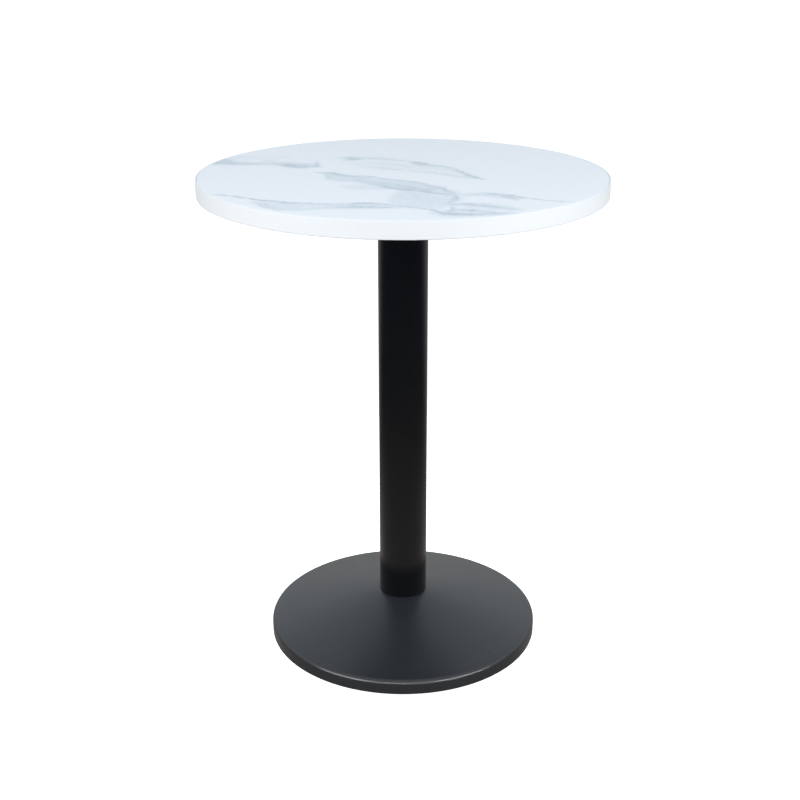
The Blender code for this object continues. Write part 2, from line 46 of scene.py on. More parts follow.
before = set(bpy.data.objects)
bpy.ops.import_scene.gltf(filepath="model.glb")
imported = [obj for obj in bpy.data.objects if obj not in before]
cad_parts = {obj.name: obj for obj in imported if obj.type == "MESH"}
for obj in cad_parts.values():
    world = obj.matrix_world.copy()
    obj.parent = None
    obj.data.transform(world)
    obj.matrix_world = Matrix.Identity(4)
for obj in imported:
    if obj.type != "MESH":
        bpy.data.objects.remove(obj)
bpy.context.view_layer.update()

GAP = 0.0003  # between pieces that touch
WELD = 0.000001
SPIGOT_SLACK = 0.0004  # round the spigots that stand in the tube
ROD_SLACK = 0.0005  # round the tie rod in the castings
STEM_RADIUS = 0.0039
HEXAGON_HEIGHT = 0.0040  # of the levellers' wrench hexagons
SCREW_RADIUS = 0.0024
THREAD_DEPTH = 0.0007  # of the screws and the levellers
END_CHAMFER = 0.0008  # where a thread starts
CUT_PAST = 0.002  # how far a drilled hole runs past a nut
FINE = 224  # sides of the tabletop's rings
MEDIUM = 144
SMALL = 48
ROOT = "table"
LEVELLERS = range(1, 5)
SCREWS = range(1, 9)


# ---------------------------------------------------------------- settings
def length(name, description, default):
    """A size in metres."""
    return bpy.props.FloatProperty(
        name=name, description=description, default=default, min=0.0, precision=4, unit="LENGTH"
    )


def colour(name, description, default):
    """A linear colour."""
    return bpy.props.FloatVectorProperty(
        name=name, description=description, default=default, size=3, min=0.0, max=1.0,
        subtype="COLOR",
    )


def amount(name, description, default, most=1.0):
    """A plain number."""
    return bpy.props.FloatProperty(
        name=name, description=description, default=default, min=0.0, max=most, precision=3
    )


class TableSizes(bpy.types.PropertyGroup):
    """Sizes that only the visible surface has."""

    band_rounding: length("Band rounding", "Radius of the edge band's two long edges", 0.0009)
    laminate_break: length("Laminate break", "Bevel where the laminate meets its band", 0.00025)
    tube_wall: length("Tube wall", "Thickness of the column's wall", 0.0020)
    shell: length("Base wall", "Thickness of the base's dome", 0.0055)
    shoulder: length("Shoulder radius", "Rounding from the base's dome to its rim", 0.0080)
    rim_band: length("Rim band", "Height of the base's upright rim", 0.0168)
    rim_wall: length("Rim wall", "Thickness of the base's rim", 0.0070)
    crown: length("Crown", "How far the dome swells above a straight cone", 0.0015)
    seat_ledge: length("Seat ledge", "Seat that shows round the column's foot", 0.0008)
    rod_pitch: length("Rod pitch", "Thread pitch of the tie rod", 0.00175)
    stem_pitch: length("Leveller pitch", "Thread pitch of the levellers", 0.00125)
    screw_pitch: length("Screw pitch", "Thread pitch of the wood screws", 0.0018)


class TableFinishes(bpy.types.PropertyGroup):
    """Colours of the finishes."""

    marble: colour("Marble ground", "White of the printed marble", (0.664, 0.710, 0.763))
    wash: colour("Marble wash", "Pale grey-blue cloud round the veins", (0.53, 0.612, 0.674))
    vein: colour("Marble vein", "Darker line inside a vein", (0.388, 0.466, 0.533))
    band: colour("Edge band", "White of the edge band", (0.828, 0.855, 0.875))
    coat: colour("Powder coat", "Black of the column and the base", (0.0068, 0.0080, 0.0098))
    casting: colour("Casting", "Black of the cast spider", (0.020, 0.020, 0.021))
    zinc: colour("Zinc plate", "Plated steel of the fasteners", (0.62, 0.63, 0.66))
    nylon: colour("Nylon", "Black of the levelling pads", (0.018, 0.018, 0.019))
    backer: colour("Backer", "Resin-soaked sheet under the board", (0.055, 0.045, 0.038))
    chips: colour("Particle board", "Wood chips of the board's core", (0.52, 0.36, 0.21))


class TableStage(bpy.types.PropertyGroup):
    """Camera and lights."""

    lens: amount("Lens", "Focal length in millimetres on a 36 mm sensor", 59.3, 400.0)
    distance: length("Camera distance", "From the column's axis, along the floor", 1.940)
    height: length("Camera height", "Above the floor", 1.1445)
    pitch: amount("Camera pitch", "Degrees below the horizon", 20.91, 90.0)
    key_power: amount("Key power", "Watts of the softbox in front", 88.0, 2000.0)
    top_power: amount("Top power", "Watts of the softbox overhead", 4.0, 2000.0)
    side_power: amount("Side power", "Watts of each softbox at the sides", 41.0, 2000.0)
    low_power: amount("Low power", "Watts of each low softbox by the base", 60.0, 2000.0)
    floor_radius: length("Floor radius", "Of the pale floor round the table", 0.95)


# ---------------------------------------------------------------- shapes
def arc(centre_radius, centre_height, radius, start, end, steps):
    """Points on a round edge, as (radius, height), with angles in degrees from outwards."""
    points = []
    for step in range(steps + 1):
        angle = math.radians(start + (end - start) * step / steps)
        out, up = radius * math.cos(angle), radius * math.sin(angle)
        points.append((centre_radius + out, centre_height + up))
    return points


def foot(radius, bottom, edge, steps=3):
    """The round lower edge of an upright side."""
    return arc(radius - edge, bottom + edge, edge, -90, 0, steps)


def brim(radius, top, edge, steps=3):
    """The round upper edge of an upright side."""
    return arc(radius - edge, top - edge, edge, 0, 90, steps)


def upright(radius, bottom, top):
    """Two points just inside an upright side's ends, which keep its shading straight."""
    return [(radius, bottom + 3 * GAP), (radius, top - 3 * GAP)]


def hollow_edge(start, end, hollow, steps):
    """Points from one (radius, height) to another, raised by hollow half way."""
    points = []
    for step in range(steps + 1):
        share = step / steps
        radius, height = (low + (high - low) * share for low, high in zip(start, end))
        points.append((radius, height + hollow * 4 * share * (1 - share)))
    return points


def welded(shape):
    """Joins corners that lie on each other."""
    bmesh.ops.remove_doubles(shape, verts=shape.verts, dist=WELD)
    return shape


def spun(shape, geom, steps, sweep=math.tau, rise=0.0, merge=False):
    """Spins part of a shape about Z, climbing by rise."""
    bmesh.ops.spin(
        shape, geom=geom, cent=(0, 0, 0), axis=(0, 0, 1), dvec=(0, 0, rise / steps),
        angle=sweep, steps=steps, use_merge=merge,
    )
    return shape


def turned(profile, segments):
    """Spins a closed outline of (radius, height) points about Z. Points may lie on the axis."""
    shape = bmesh.new()
    corners = [shape.verts.new((radius, 0.0, height)) for radius, height in profile]
    edges = []
    for pair in zip(corners, corners[1:] + corners[:1]):
        if any(corner.co.x >= WELD for corner in pair):
            edges.append(shape.edges.new(pair))
    return outwards(welded(spun(shape, corners + edges, segments, merge=True)))


def split_ring(outline, segments, start, sweep, rise=0.0):
    """Spins an outline part of a turn about Z, climbing by rise, and closes its two ends."""
    shape = bmesh.new()
    face = shape.faces.new([shape.verts.new((radius, 0.0, height)) for radius, height in outline])
    swung(shape, start)
    return outwards(spun(shape, [face], segments, sweep, rise))


def extruded(points, sweep):
    """Sweeps a flat outline of 3-D points along a vector."""
    shape = bmesh.new()
    face = shape.faces.new([shape.verts.new(point) for point in points])
    swept = bmesh.ops.extrude_face_region(shape, geom=[face])
    moved = [item for item in swept["geom"] if isinstance(item, bmesh.types.BMVert)]
    bmesh.ops.translate(shape, verts=moved, vec=sweep)
    return outwards(shape)


def web(outline, offset, thickness):
    """An upright plate on (x, z) points, with its middle at y = offset."""
    points = [(x, offset - thickness / 2, z) for x, z in outline]
    return extruded(points, (0, thickness, 0))


def cylinder(radius, bottom, top, segments=SMALL):
    """A closed upright cylinder."""
    return turned([(0, bottom), (radius, bottom), (radius, top), (0, top)], segments)


def softened(shape, width, segments=2, angle=30):
    """Rounds every edge that is sharper than the angle, in degrees."""
    limit = math.radians(angle)
    pairs = [edge for edge in shape.edges if len(edge.link_faces) == 2]
    bmesh.ops.bevel(
        shape, geom=[edge for edge in pairs if edge.calc_face_angle(0) > limit], offset=width,
        offset_type="OFFSET", segments=segments, profile=0.5, affect="EDGES",
        clamp_overlap=True, material=-1,
    )
    return outwards(shape)


def outwards(shape):
    """Points every face out."""
    bmesh.ops.recalc_face_normals(shape, faces=shape.faces)
    return shape


def swung(shape, angle):
    """Turns a shape about the column's axis."""
    turn = Matrix.Rotation(angle, 3, "Z")
    bmesh.ops.rotate(shape, verts=shape.verts, cent=(0, 0, 0), matrix=turn)
    return shape


def moved_to(shape, x, y):
    """Shifts a shape along the floor."""
    bmesh.ops.translate(shape, verts=shape.verts, vec=(x, y, 0.0))
    return shape


def drawn_in(shape, limit):
    """Moves corners towards Z until none is further out than limit(height)."""
    for corner in shape.verts:
        share = limit(corner.co.z) / max(corner.co.xy.length, WELD)
        if 0 < share < 1:
            corner.co.x *= share
            corner.co.y *= share
    return shape


def threaded(radius, depth, pitch, bottom, top, segments=32):
    """A screw thread with flat ends: one turn of a toothed outline that climbs by its own pitch."""
    shape = bmesh.new()
    root = radius - depth
    tooth = ((root, 0.0), (root, 0.15), (radius, 0.50), (radius, 0.62))
    corners = []
    for turn in range(math.ceil((top - bottom) / pitch) + 3):
        low = bottom - 2 * pitch + turn * pitch
        corners += [shape.verts.new((out, 0.0, low + pitch * share)) for out, share in tooth]
    edges = [shape.edges.new(pair) for pair in zip(corners, corners[1:])]
    welded(spun(shape, corners + edges, segments, rise=pitch))
    for height, side in ((bottom, -1), (top, 1)):
        bmesh.ops.bisect_plane(
            shape, geom=[*shape.verts, *shape.edges, *shape.faces], dist=WELD / 10,
            plane_co=(0, 0, height), plane_no=(0, 0, side), clear_outer=True,
        )
    bmesh.ops.holes_fill(shape, edges=[edge for edge in shape.edges if edge.is_boundary])
    return outwards(shape)


def meshed(name, shape):
    """A mesh made of a shape, which is freed."""
    mesh = bpy.data.meshes.new(name)
    shape.to_mesh(mesh)
    shape.free()
    return mesh


def linked(name, data):
    """A new object in the scene."""
    item = bpy.data.objects.new(name, data)
    bpy.context.scene.collection.objects.link(item)
    return item


def combined(shape, tools, operation):
    """The shape after a union with, or a cut by, each of the tools."""
    body, *guides = [linked("scratch", meshed("scratch", item)) for item in (shape, *tools)]
    for guide in guides:
        step = body.modifiers.new("step", "BOOLEAN")
        step.operation = operation
        step.solver = "EXACT"
        step.object = guide
    bpy.context.view_layer.update()
    result = bmesh.new()
    result.from_object(body, bpy.context.evaluated_depsgraph_get())
    for item in (body, *guides):
        mesh = item.data
        bpy.data.objects.remove(item)
        bpy.data.meshes.remove(mesh)
    bmesh.ops.dissolve_degenerate(welded(result), dist=WELD, edges=result.edges)
    return result


def finish_piece(name, shape, material, node, body=ROOT, sharp=30):
    """Makes a shape the visible piece that stands for a node of the frame."""
    mesh = meshed(name, shape)
    mesh.shade_smooth()
    mesh.set_sharp_from_angle(angle=math.radians(sharp))
    mesh.materials.append(material)
    piece = linked(name, mesh)
    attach(piece, body)
    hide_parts(node)


def reach(node):
    """(largest radius about Z, bottom, top) of a round node on the column's axis."""
    low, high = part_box(node)
    return high.x, low.z, high.z


def spot(node):
    """The middle of a node's box, on the floor plane."""
    low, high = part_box(node)
    return (low.x + high.x) / 2, (low.y + high.y) / 2


def spigot_radius(sizes):
    """Radius of the castings' spigots, which stand in the column's ends."""
    return reach("column_tube")[0] - sizes.tube_wall - SPIGOT_SLACK


def rod_bore():
    """Radius of the castings' bores for the tie rod."""
    return reach("tie_rod")[0] + ROD_SLACK


# ---------------------------------------------------------------- materials
class Nodes:
    """A node tree, with one call that adds a node and fills its sockets."""

    def __init__(self, tree):
        self.tree = tree

    def add(self, kind, values=None, **settings):
        node = self.tree.nodes.new(kind)
        for key, value in settings.items():
            setattr(node, key, value)
        for key, value in (values or {}).items():
            self.put(node.inputs[key], value)
        return node

    def put(self, socket, value):
        """Links a socket's output, or sets a plain value."""
        if isinstance(value, bpy.types.NodeSocket):
            self.tree.links.new(value, socket)
        elif socket.type == "RGBA":
            socket.default_value = (*value, 1.0)
        else:
            socket.default_value = value


class Finish(Nodes):
    """A material, with short calls for the nodes used here."""

    def __init__(self, name, roughness, metallic=0.0, specular=0.5):
        self.material = bpy.data.materials.new(name)
        self.material.use_nodes = True
        super().__init__(self.material.node_tree)
        self.shader = self.tree.nodes["Principled BSDF"]
        self.put(self.shader.inputs["Roughness"], roughness)
        self.put(self.shader.inputs["Metallic"], metallic)
        self.put(self.shader.inputs["Specular IOR Level"], specular)
        self.place = self.add("ShaderNodeTexCoord").outputs["Object"]

    def sum(self, operation, first, second=0.0, third=0.0):
        values = {0: first, 1: second, 2: third}
        return self.add("ShaderNodeMath", values, operation=operation).outputs[0]

    def times(self, first, second):
        return self.sum("MULTIPLY", first, second)

    def most(self, first, second):
        return self.sum("MAXIMUM", first, second)

    def apart(self, first, second):
        """How far two values are from each other."""
        return self.sum("ABSOLUTE", self.sum("SUBTRACT", first, second))

    def vector(self, operation, first, second=(0, 0, 0)):
        values = {0: first, "Scale" if operation == "SCALE" else 1: second}
        node = self.add("ShaderNodeVectorMath", values, operation=operation)
        return node.outputs["Value" if operation == "DOT_PRODUCT" else "Vector"]

    def noise(self, scale, detail=3.0, roughness=0.5, where=None, output="Fac"):
        values = {"Scale": scale, "Detail": detail, "Roughness": roughness}
        values["Vector"] = where or self.place
        return self.add("ShaderNodeTexNoise", values).outputs[output]

    def cells(self, scale, where=None, output="Distance"):
        values = {"Vector": where or self.place, "Scale": scale}
        return self.add("ShaderNodeTexVoronoi", values).outputs[output]

    def stretched(self, x, y, z):
        """Object coordinates stretched along the axes."""
        values = {"Vector": self.place, "Scale": (x, y, z)}
        return self.add("ShaderNodeMapping", values).outputs[0]

    def along(self, angle, length, width, where):
        """Coordinates counted in lengths along a direction, in degrees, and in widths across it."""
        values = {"Vector": where, "Rotation": (0, 0, math.radians(angle))}
        values["Scale"] = (length, width, 1)
        return self.add("ShaderNodeMapping", values, vector_type="TEXTURE").outputs[0]

    def remap(self, value, low, high, to_low=0.0, to_high=1.0):
        values = dict(enumerate((value, low, high, to_low, to_high)))
        node = self.add("ShaderNodeMapRange", values, interpolation_type="SMOOTHSTEP")
        return node.outputs[0]

    def between(self, value, low, high):
        """Takes the middle of a noise's range to two numbers."""
        return self.remap(value, 0.3, 0.7, low, high)

    def mix(self, share, first, second):
        values = {0: share, 6: first, 7: second}
        return self.add("ShaderNodeMix", values, data_type="RGBA").outputs[2]

    def mottled(self, share, tint, dark, light):
        return self.mix(share, shade(tint, dark), shade(tint, light))

    def bump(self, height, strength, distance, over=None):
        values = {"Strength": strength, "Distance": distance, "Height": height}
        if over:
            values["Normal"] = over
        return self.add("ShaderNodeBump", values).outputs[0]

    def done(self, base, roughness=None, normal=None):
        for name, value in (("Base Color", base), ("Roughness", roughness), ("Normal", normal)):
            if value is not None:
                self.put(self.shader.inputs[name], value)
        return self.material


def shade(tint, factor):
    """A colour made lighter or darker."""
    return tuple(min(1.0, channel * factor) for channel in tint)


MILLIMETRE = 1000.0  # object coordinates are metres

# A vein is (start, end, feathering, stops), in millimetres on the tabletop. Along it, each stop is
# (percent of the way, sideways offset, half width, percent of strength).
# Pale clouds.
WASHES = (
    # main cloud through the middle
    ((-130, 8), (70, -150), 10, ((0, 0, 2, 20), (7, 3, 10, 90), (19, -4, 17, 100), (30, 1, 18, 90),
        (40, 6, 19, 80), (53, 5, 30, 85), (63, 7, 30, 100), (72, 7, 26, 100), (80, 5, 21, 100),
        (90, 5, 15, 90), (100, -1, 6, 50))),
    ((-88, -90), (0, -112), 12, ((0, 0, 6, 50), (30, 0, 14, 60), (70, 4, 14, 70),
        (100, 8, 8, 60))),
    # paler cloud that falls from it to the front
    ((16, -112), (38, -240), 14, ((0, 6, 30, 60), (18, 8, 42, 84), (45, 3, 46, 84),
        (75, 0, 38, 80), (100, -4, 16, 50))),
    # left cloud
    ((-304, 90), (-126, 62), 14, ((0, 4, 18, 90), (18, 0, 17, 90), (34, -2, 12, 80),
        (50, 0, 8, 60), (64, 2, 11, 80), (78, -4, 16, 100), (90, -6, 17, 100), (100, -2, 10, 50))),
    ((-300, 118), (-172, 132), 14, ((0, -4, 14, 45), (45, 2, 10, 35), (70, -6, 8, 25),
        (100, 0, 8, 30))),
    ((-210, 78), (-200, 118), 10, ((0, 0, 10, 60), (100, 0, 3, 10))),
    # front left cloud
    ((-205, -202), (8, -222), 11, ((0, 0, 4, 50), (12, -12, 16, 80), (28, -18, 22, 75),
        (46, -12, 18, 75), (62, -4, 15, 80), (82, 0, 14, 85), (100, 0, 8, 70))),
    # front right clouds
    ((58, -208), (158, -240), 10, ((0, 0, 6, 40), (30, 4, 14, 80), (70, 2, 13, 80),
        (100, 0, 5, 40))),
    ((30, -262), (160, -268), 12, ((0, 8, 10, 60), (25, 4, 18, 80), (55, 2, 14, 60),
        (80, 0, 12, 70), (100, 0, 5, 30))),
    ((74, -147), (168, -168), 9, ((0, 0, 5, 50), (30, 8, 10, 70), (65, 6, 12, 80),
        (100, -4, 7, 40))),
    # back clouds
    ((-106, 132), (14, 96), 13, ((0, -6, 6, 30), (22, -4, 19, 75), (42, 6, 12, 50), (70, 6, 9, 45),
        (100, 0, 6, 40))),
    ((12, 94), (120, -54), 10, ((0, 0, 6, 60), (12, 0, 11, 80), (35, 6, 10, 60), (55, 9, 8, 50),
        (78, 4, 7, 50), (100, 0, 3, 20))),
    ((-56, 50), (20, 26), 12, ((0, 0, 4, 30), (50, 2, 9, 45), (100, 0, 4, 30))),
    ((16, 20), (118, -48), 11, ((0, 0, 6, 40), (30, 2, 9, 45), (70, 4, 7, 45), (100, 0, 3, 30))),
    ((-92, 92), (70, 10), 22, ((0, 0, 10, 20), (35, 0, 24, 32), (70, 4, 22, 34),
        (100, 0, 10, 20))),
    ((-292, 128), (-276, 70), 12, ((0, 0, 10, 70), (50, 0, 20, 90), (100, 0, 12, 80))),
)
# Darker lines, most of them inside a cloud.
LINES = (
    # upper edge of the main cloud, dark and broken
    ((-134, 12), (72, -150), 5, ((0, 0, 2, 80), (7, 8, 5, 100), (18, 8, 5, 90), (30, 17, 3, 70),
        (52, 34, 2, 25), (64, 36, 2, 30), (78, 26, 4, 70), (88, 21, 4, 90), (100, 3, 2, 60))),
    # lower edge of the main cloud
    ((-120, -14), (70, -158), 6, ((0, 0, 3, 70), (14, -17, 4, 30), (28, -4, 3, 40),
        (42, -2, 4, 70), (60, -6, 6, 90), (76, 2, 6, 100), (100, 2, 3, 60))),
    ((-72, -40), (46, -118), 6, ((0, 0, 3, 50), (35, 0, 6, 50), (70, -4, 7, 70), (100, 0, 4, 70))),
    # left cloud's core
    ((-306, 88), (-124, 58), 8, ((0, 0, 8, 100), (14, -2, 7, 90), (32, -2, 4, 80), (50, 3, 3, 60),
        (64, 4, 5, 80), (80, -8, 9, 100), (92, -4, 6, 90), (100, 6, 3, 60))),
    ((-130, 50), (-133, 108), 5, ((0, 0, 5, 80), (40, 0, 3, 70), (100, 0, 1, 20))),
    # back right line
    ((12, 98), (122, -56), 4, ((0, 0, 4, 60), (10, 0, 8, 100), (24, 4, 4, 70), (42, 13, 3, 60),
        (60, 10, 3, 90), (80, 3, 3, 90), (100, 0, 1, 30))),
    ((18, 18), (116, -46), 4, ((0, 0, 3, 40), (30, 2, 4, 50), (60, 3, 2, 40), (90, 2, 3, 60),
        (100, 0, 1, 30))),
    # back left knot
    ((-90, 128), (6, 96), 5, ((0, -4, 5, 60), (12, -6, 11, 90), (30, 4, 4, 50), (60, 6, 4, 50),
        (85, 0, 4, 60), (100, 0, 2, 40))),
    ((-54, 48), (16, 26), 4, ((0, 0, 2, 30), (30, 2, 3, 50), (70, 2, 3, 45), (100, 0, 2, 30))),
    # right line
    ((74, -145), (232, -197), 3.5, ((0, -2, 2, 50), (18, 10, 3, 70), (36, 15, 5, 80),
        (52, 6, 4, 80), (70, 1, 2.5, 70), (88, 0, 2.5, 80), (100, 4, 1, 50))),
    ((138, -146), (158, -186), 4, ((0, 0, 4, 60), (50, -3, 5, 80), (100, 0, 2, 40))),
    # front left line
    ((-282, -140), (-120, -208), 2.5, ((0, 0, 2, 80), (20, 3, 2, 90), (45, -3, 2.5, 100),
        (62, -9, 4, 100), (80, -5, 4, 90), (100, 0, 3, 70))),
    ((-132, -208), (10, -216), 4, ((0, 0, 2, 50), (30, -2, 3, 50), (55, 8, 4, 90), (80, 4, 4, 80),
        (100, -6, 3, 80))),
    ((-198, -204), (-14, -228), 4, ((0, 0, 2, 60), (18, -24, 3, 15), (35, -28, 3, 15),
        (60, -6, 4, 50), (80, 0, 5, 90), (100, 0, 3, 70))),
    # front right lines
    ((2, -220), (156, -268), 3, ((0, 0, 2, 80), (20, -8, 3, 90), (40, -24, 5, 100),
        (60, -20, 6, 90), (80, -8, 4, 80), (100, 0, 2, 40))),
    ((68, -150), (54, -270), 3.5, ((0, 0, 3, 100), (20, 5, 3, 80), (45, 4, 2, 50), (70, 6, 3, 70),
        (100, 0, 3, 90))),
    ((60, -204), (150, -240), 4, ((0, 0, 3, 50), (30, 5, 5, 80), (60, 2, 4, 80), (100, 0, 3, 50))),
    ((64, -238), (122, -254), 5, ((0, 0, 3, 50), (50, 0, 6, 90), (100, 0, 2, 40))),
    ((-204, -198), (-156, -252), 4, ((0, 0, 2, 60), (50, -3, 3, 60), (100, 0, 2, 30))),
    # thin threads inside the clouds
    ((-296, 116), (-262, 82), 4, ((0, 0, 3, 70), (40, 3, 6, 90), (100, 0, 3, 60))),
    ((-70, -8), (58, -96), 3, ((0, 0, 2, 40), (30, -3, 2, 70), (55, 3, 3, 60), (80, -2, 2, 70),
        (100, 0, 1, 40))),
    ((-8, -112), (44, -206), 3, ((0, 0, 2, 30), (30, 5, 2, 50), (60, -3, 2, 45), (100, 0, 1, 30))),
    ((-40, 84), (44, 34), 3, ((0, 0, 2, 30), (35, 4, 2, 50), (70, -3, 2, 40), (100, 0, 1, 20))),
)


def vein(finish, place, start, end, feather, stops):
    """The strength, 0 to 1, of one vein at each place."""
    run = Vector(end) - Vector(start)
    along, across = run.normalized(), Vector((-run.y, run.x)).normalized()
    first, last = stops[0], stops[-1]
    stops = [(0.03 + 0.94 * (way / 100), *size, full / 100) for way, *size, full in stops]
    stops = [(0.0, first[1], first[2], 0.0), *stops, (1.0, last[1], last[2], 0.0)]
    most_offset = max(abs(stop[1]) for stop in stops) or 1.0
    most_width = max(stop[2] for stop in stops)

    begin = Vector(start)
    forwards = finish.vector("DOT_PRODUCT", place, (*along, 0))
    share = finish.sum("MULTIPLY_ADD", forwards, 1 / run.length, -along.dot(begin) / run.length)
    sideways = finish.vector("DOT_PRODUCT", place, (*across, 0))
    side = finish.sum("ADD", sideways, -across.dot(begin))
    curves = finish.add("ShaderNodeRGBCurve", {"Color": share})
    curves.mapping.extend = "HORIZONTAL"
    rows = [
        (way, offset / most_offset / 2 + 0.5, width / most_width, full)
        for way, offset, width, full in stops
    ]
    for channel, curve in zip((1, 2, 3), curves.mapping.curves):
        bends = [(row[0], row[channel]) for row in rows]
        curve.points[0].location, curve.points[-1].location = bends[0], bends[-1]
        for bend in bends[1:-1]:
            curve.points.new(*bend)
    curves.mapping.update()
    parts = finish.add("ShaderNodeSeparateColor", {0: curves.outputs[0]})
    centre = finish.sum("MULTIPLY_ADD", parts.outputs[0], 2 * most_offset, -most_offset)
    away = finish.apart(side, centre)
    beyond = finish.sum("MULTIPLY_ADD", parts.outputs[1], -most_width, away)
    cover = finish.remap(beyond, -0.4 * feather, feather, 1.0, 0.0)
    return finish.times(cover, parts.outputs[2])


def marble_material(finishes):
    """Printed marble: listed clouds and lines, broken up by noise, under a satin face."""
    finish = Finish("marble_print", 0.33, specular=0.5)
    place = finish.vector("SCALE", finish.place, MILLIMETRE)
    for size, swing in ((55.0, 20.0), (16.0, 10.0), (5.0, 2.5)):
        stir = finish.noise(1 / size, 2.0, 0.5, where=place, output="Color")
        stir = finish.vector("SUBTRACT", stir, (0.5, 0.5, 0.5))
        place = finish.vector("ADD", place, finish.vector("SCALE", stir, swing))
    covers = []
    for veins in (WASHES, LINES):
        cover = 0.0
        for facts in veins:
            cover = finish.most(vein(finish, place, *facts), cover)
        covers.append(cover)
    washes, lines = covers
    grain = finish.noise(1 / 12.0, 4.0, 0.6, where=place)
    flow = finish.noise(1.0, 3.0, 0.55, where=finish.along(-32, 60, 10, place))
    strands = finish.apart(flow, 0.5)
    strands = finish.remap(strands, 0.0, 0.035, 1.0, 0.0)
    fibre = finish.noise(1.0, 4.0, 0.6, where=finish.along(-27, 34, 5, place))
    threads = finish.apart(fibre, 0.5)
    threads = finish.remap(threads, 0.0, 0.030, 0.22, 0.0)
    strands = finish.most(finish.times(strands, 0.45), threads)
    ghost = finish.noise(1.0, 4.0, 0.55, where=finish.along(-28, 190, 50, place))

    wash = finish.times(washes, finish.remap(flow, 0.34, 0.58, 0.60, 1.0))
    wash = finish.most(wash, finish.remap(ghost, 0.52, 0.78, 0.0, 0.20))
    inner = finish.times(strands, washes)
    coarse = finish.remap(grain, 0.35, 0.55, 0.45, 1.0)
    broken = finish.times(coarse, finish.remap(fibre, 0.36, 0.52, 0.72, 1.0))
    line = finish.times(lines, broken)
    line = finish.most(line, inner)

    base = finish.mix(wash, finishes.marble, finishes.wash)
    base = finish.mix(line, base, finishes.vein)
    rough = finish.between(finish.noise(220.0, 3.0), 0.30, 0.37)
    grit = finish.noise(2600.0, 2.0)
    return finish.done(base, rough, finish.bump(grit, 0.10, 0.00008))


def band_material(finishes):
    """White moulded edging with faint streaks along its length, and painted shade on its top
    rounding.
    """
    finish = Finish("white_edging", 0.55)
    streak = finish.noise(1.0, 3.0, 0.6, where=finish.stretched(30, 30, 900))
    base = finish.mottled(streak, finishes.band, 0.985, 1.01)
    height = finish.vector("DOT_PRODUCT", finish.place, (0, 0, 1))
    top = reach("edge_band")[2]
    # Painted shade: the top rounding takes a darkened marble grey, which dims the highlight on it.
    painted_rounding_shade = finish.remap(height, top - 0.0012, top - 0.0004)
    base = finish.mix(painted_rounding_shade, base, shade(finishes.marble, 0.94))
    rough = finish.between(finish.noise(400.0), 0.50, 0.60)
    pebble = finish.cells(1500.0)
    return finish.done(base, rough, finish.bump(pebble, 0.08, 0.00010))


def coat_material(finishes, name, tint, roughness, specular, peel, dust_tint):
    """Black powder coat: orange peel, fine grain, a little pale dust in its pits; tint paints light
    and shade.
    """
    finish = Finish(name, roughness, specular=specular)
    # The tint scales the shared coat colour into a darker copy, painted shade, and a lighter copy,
    # painted light.
    black = shade(finishes.coat, tint)
    cloud = finish.noise(16.0, 3.0)
    base = finish.mottled(cloud, black, 0.94, 1.07)
    flecks = finish.remap(finish.cells(120.0), 0.0, 0.17, 1.0, 0.0)
    rare = finish.remap(finish.noise(34.0, 2.0), 0.58, 0.66)
    dust = finish.times(finish.times(flecks, rare), 0.6)
    base = finish.mix(dust, base, shade(black, dust_tint))
    smear = finish.between(finish.noise(30.0, 2.0), roughness - 0.012, roughness + 0.012)
    rough = finish.sum("MULTIPLY_ADD", dust, 0.25, smear)
    orange = finish.bump(finish.noise(420.0, 2.0, 0.5), peel, 0.00030)
    grain = finish.bump(finish.noise(2400.0, 3.0, 0.6), peel, 0.00010, over=orange)
    return finish.done(base, rough, grain)


def casting_material(finishes):
    """Sand-cast iron under thin black paint."""
    finish = Finish("painted_casting", 0.55)
    cloud = finish.noise(38.0, 5.0, 0.6)
    base = finish.mottled(cloud, finishes.casting, 0.75, 1.35)
    rough = finish.between(cloud, 0.48, 0.66)
    sand = finish.bump(finish.noise(420.0, 6.0, 0.7), 0.55, 0.00060)
    return finish.done(base, rough, sand)


def zinc_material(finishes):
    """Bright zinc plate: fine drawn lines and cloudy passivation."""
    finish = Finish("zinc_plate", 0.30, metallic=1.0)
    cloud = finish.noise(130.0, 4.0, 0.6)
    cool, warm = shade(finishes.zinc, 0.92), (0.66, 0.64, 0.58)
    base = finish.mix(cloud, cool, warm)
    drawn = finish.noise(1.0, 4.0, 0.7, where=finish.stretched(500, 500, 4200))
    rough = finish.remap(drawn, 0.25, 0.75, 0.24, 0.42)
    return finish.done(base, rough, finish.bump(drawn, 0.12, 0.00008))


def nylon_material(finishes):
    """Black moulded nylon with a fine spark-eroded skin."""
    finish = Finish("black_nylon", 0.50)
    base = finish.mottled(finish.noise(80.0), finishes.nylon, 0.85, 1.3)
    rough = finish.between(finish.noise(300.0), 0.44, 0.60)
    return finish.done(base, rough, finish.bump(finish.noise(1900.0, 4.0), 0.35, 0.00014))


def backer_material(finishes):
    """Dark resin-soaked paper: sanded both ways, with faint fibres."""
    finish = Finish("backer_sheet", 0.62)
    fibre = finish.noise(1.0, 5.0, 0.65, where=finish.stretched(900, 60, 60))
    cloud = finish.noise(9.0, 5.0, 0.6)
    tone = finish.sum("MULTIPLY_ADD", fibre, 0.5, finish.times(cloud, 0.5))
    base = finish.mottled(tone, finishes.backer, 0.70, 1.45)
    rough = finish.between(tone, 0.55, 0.70)
    return finish.done(base, rough, finish.bump(fibre, 0.18, 0.00012))


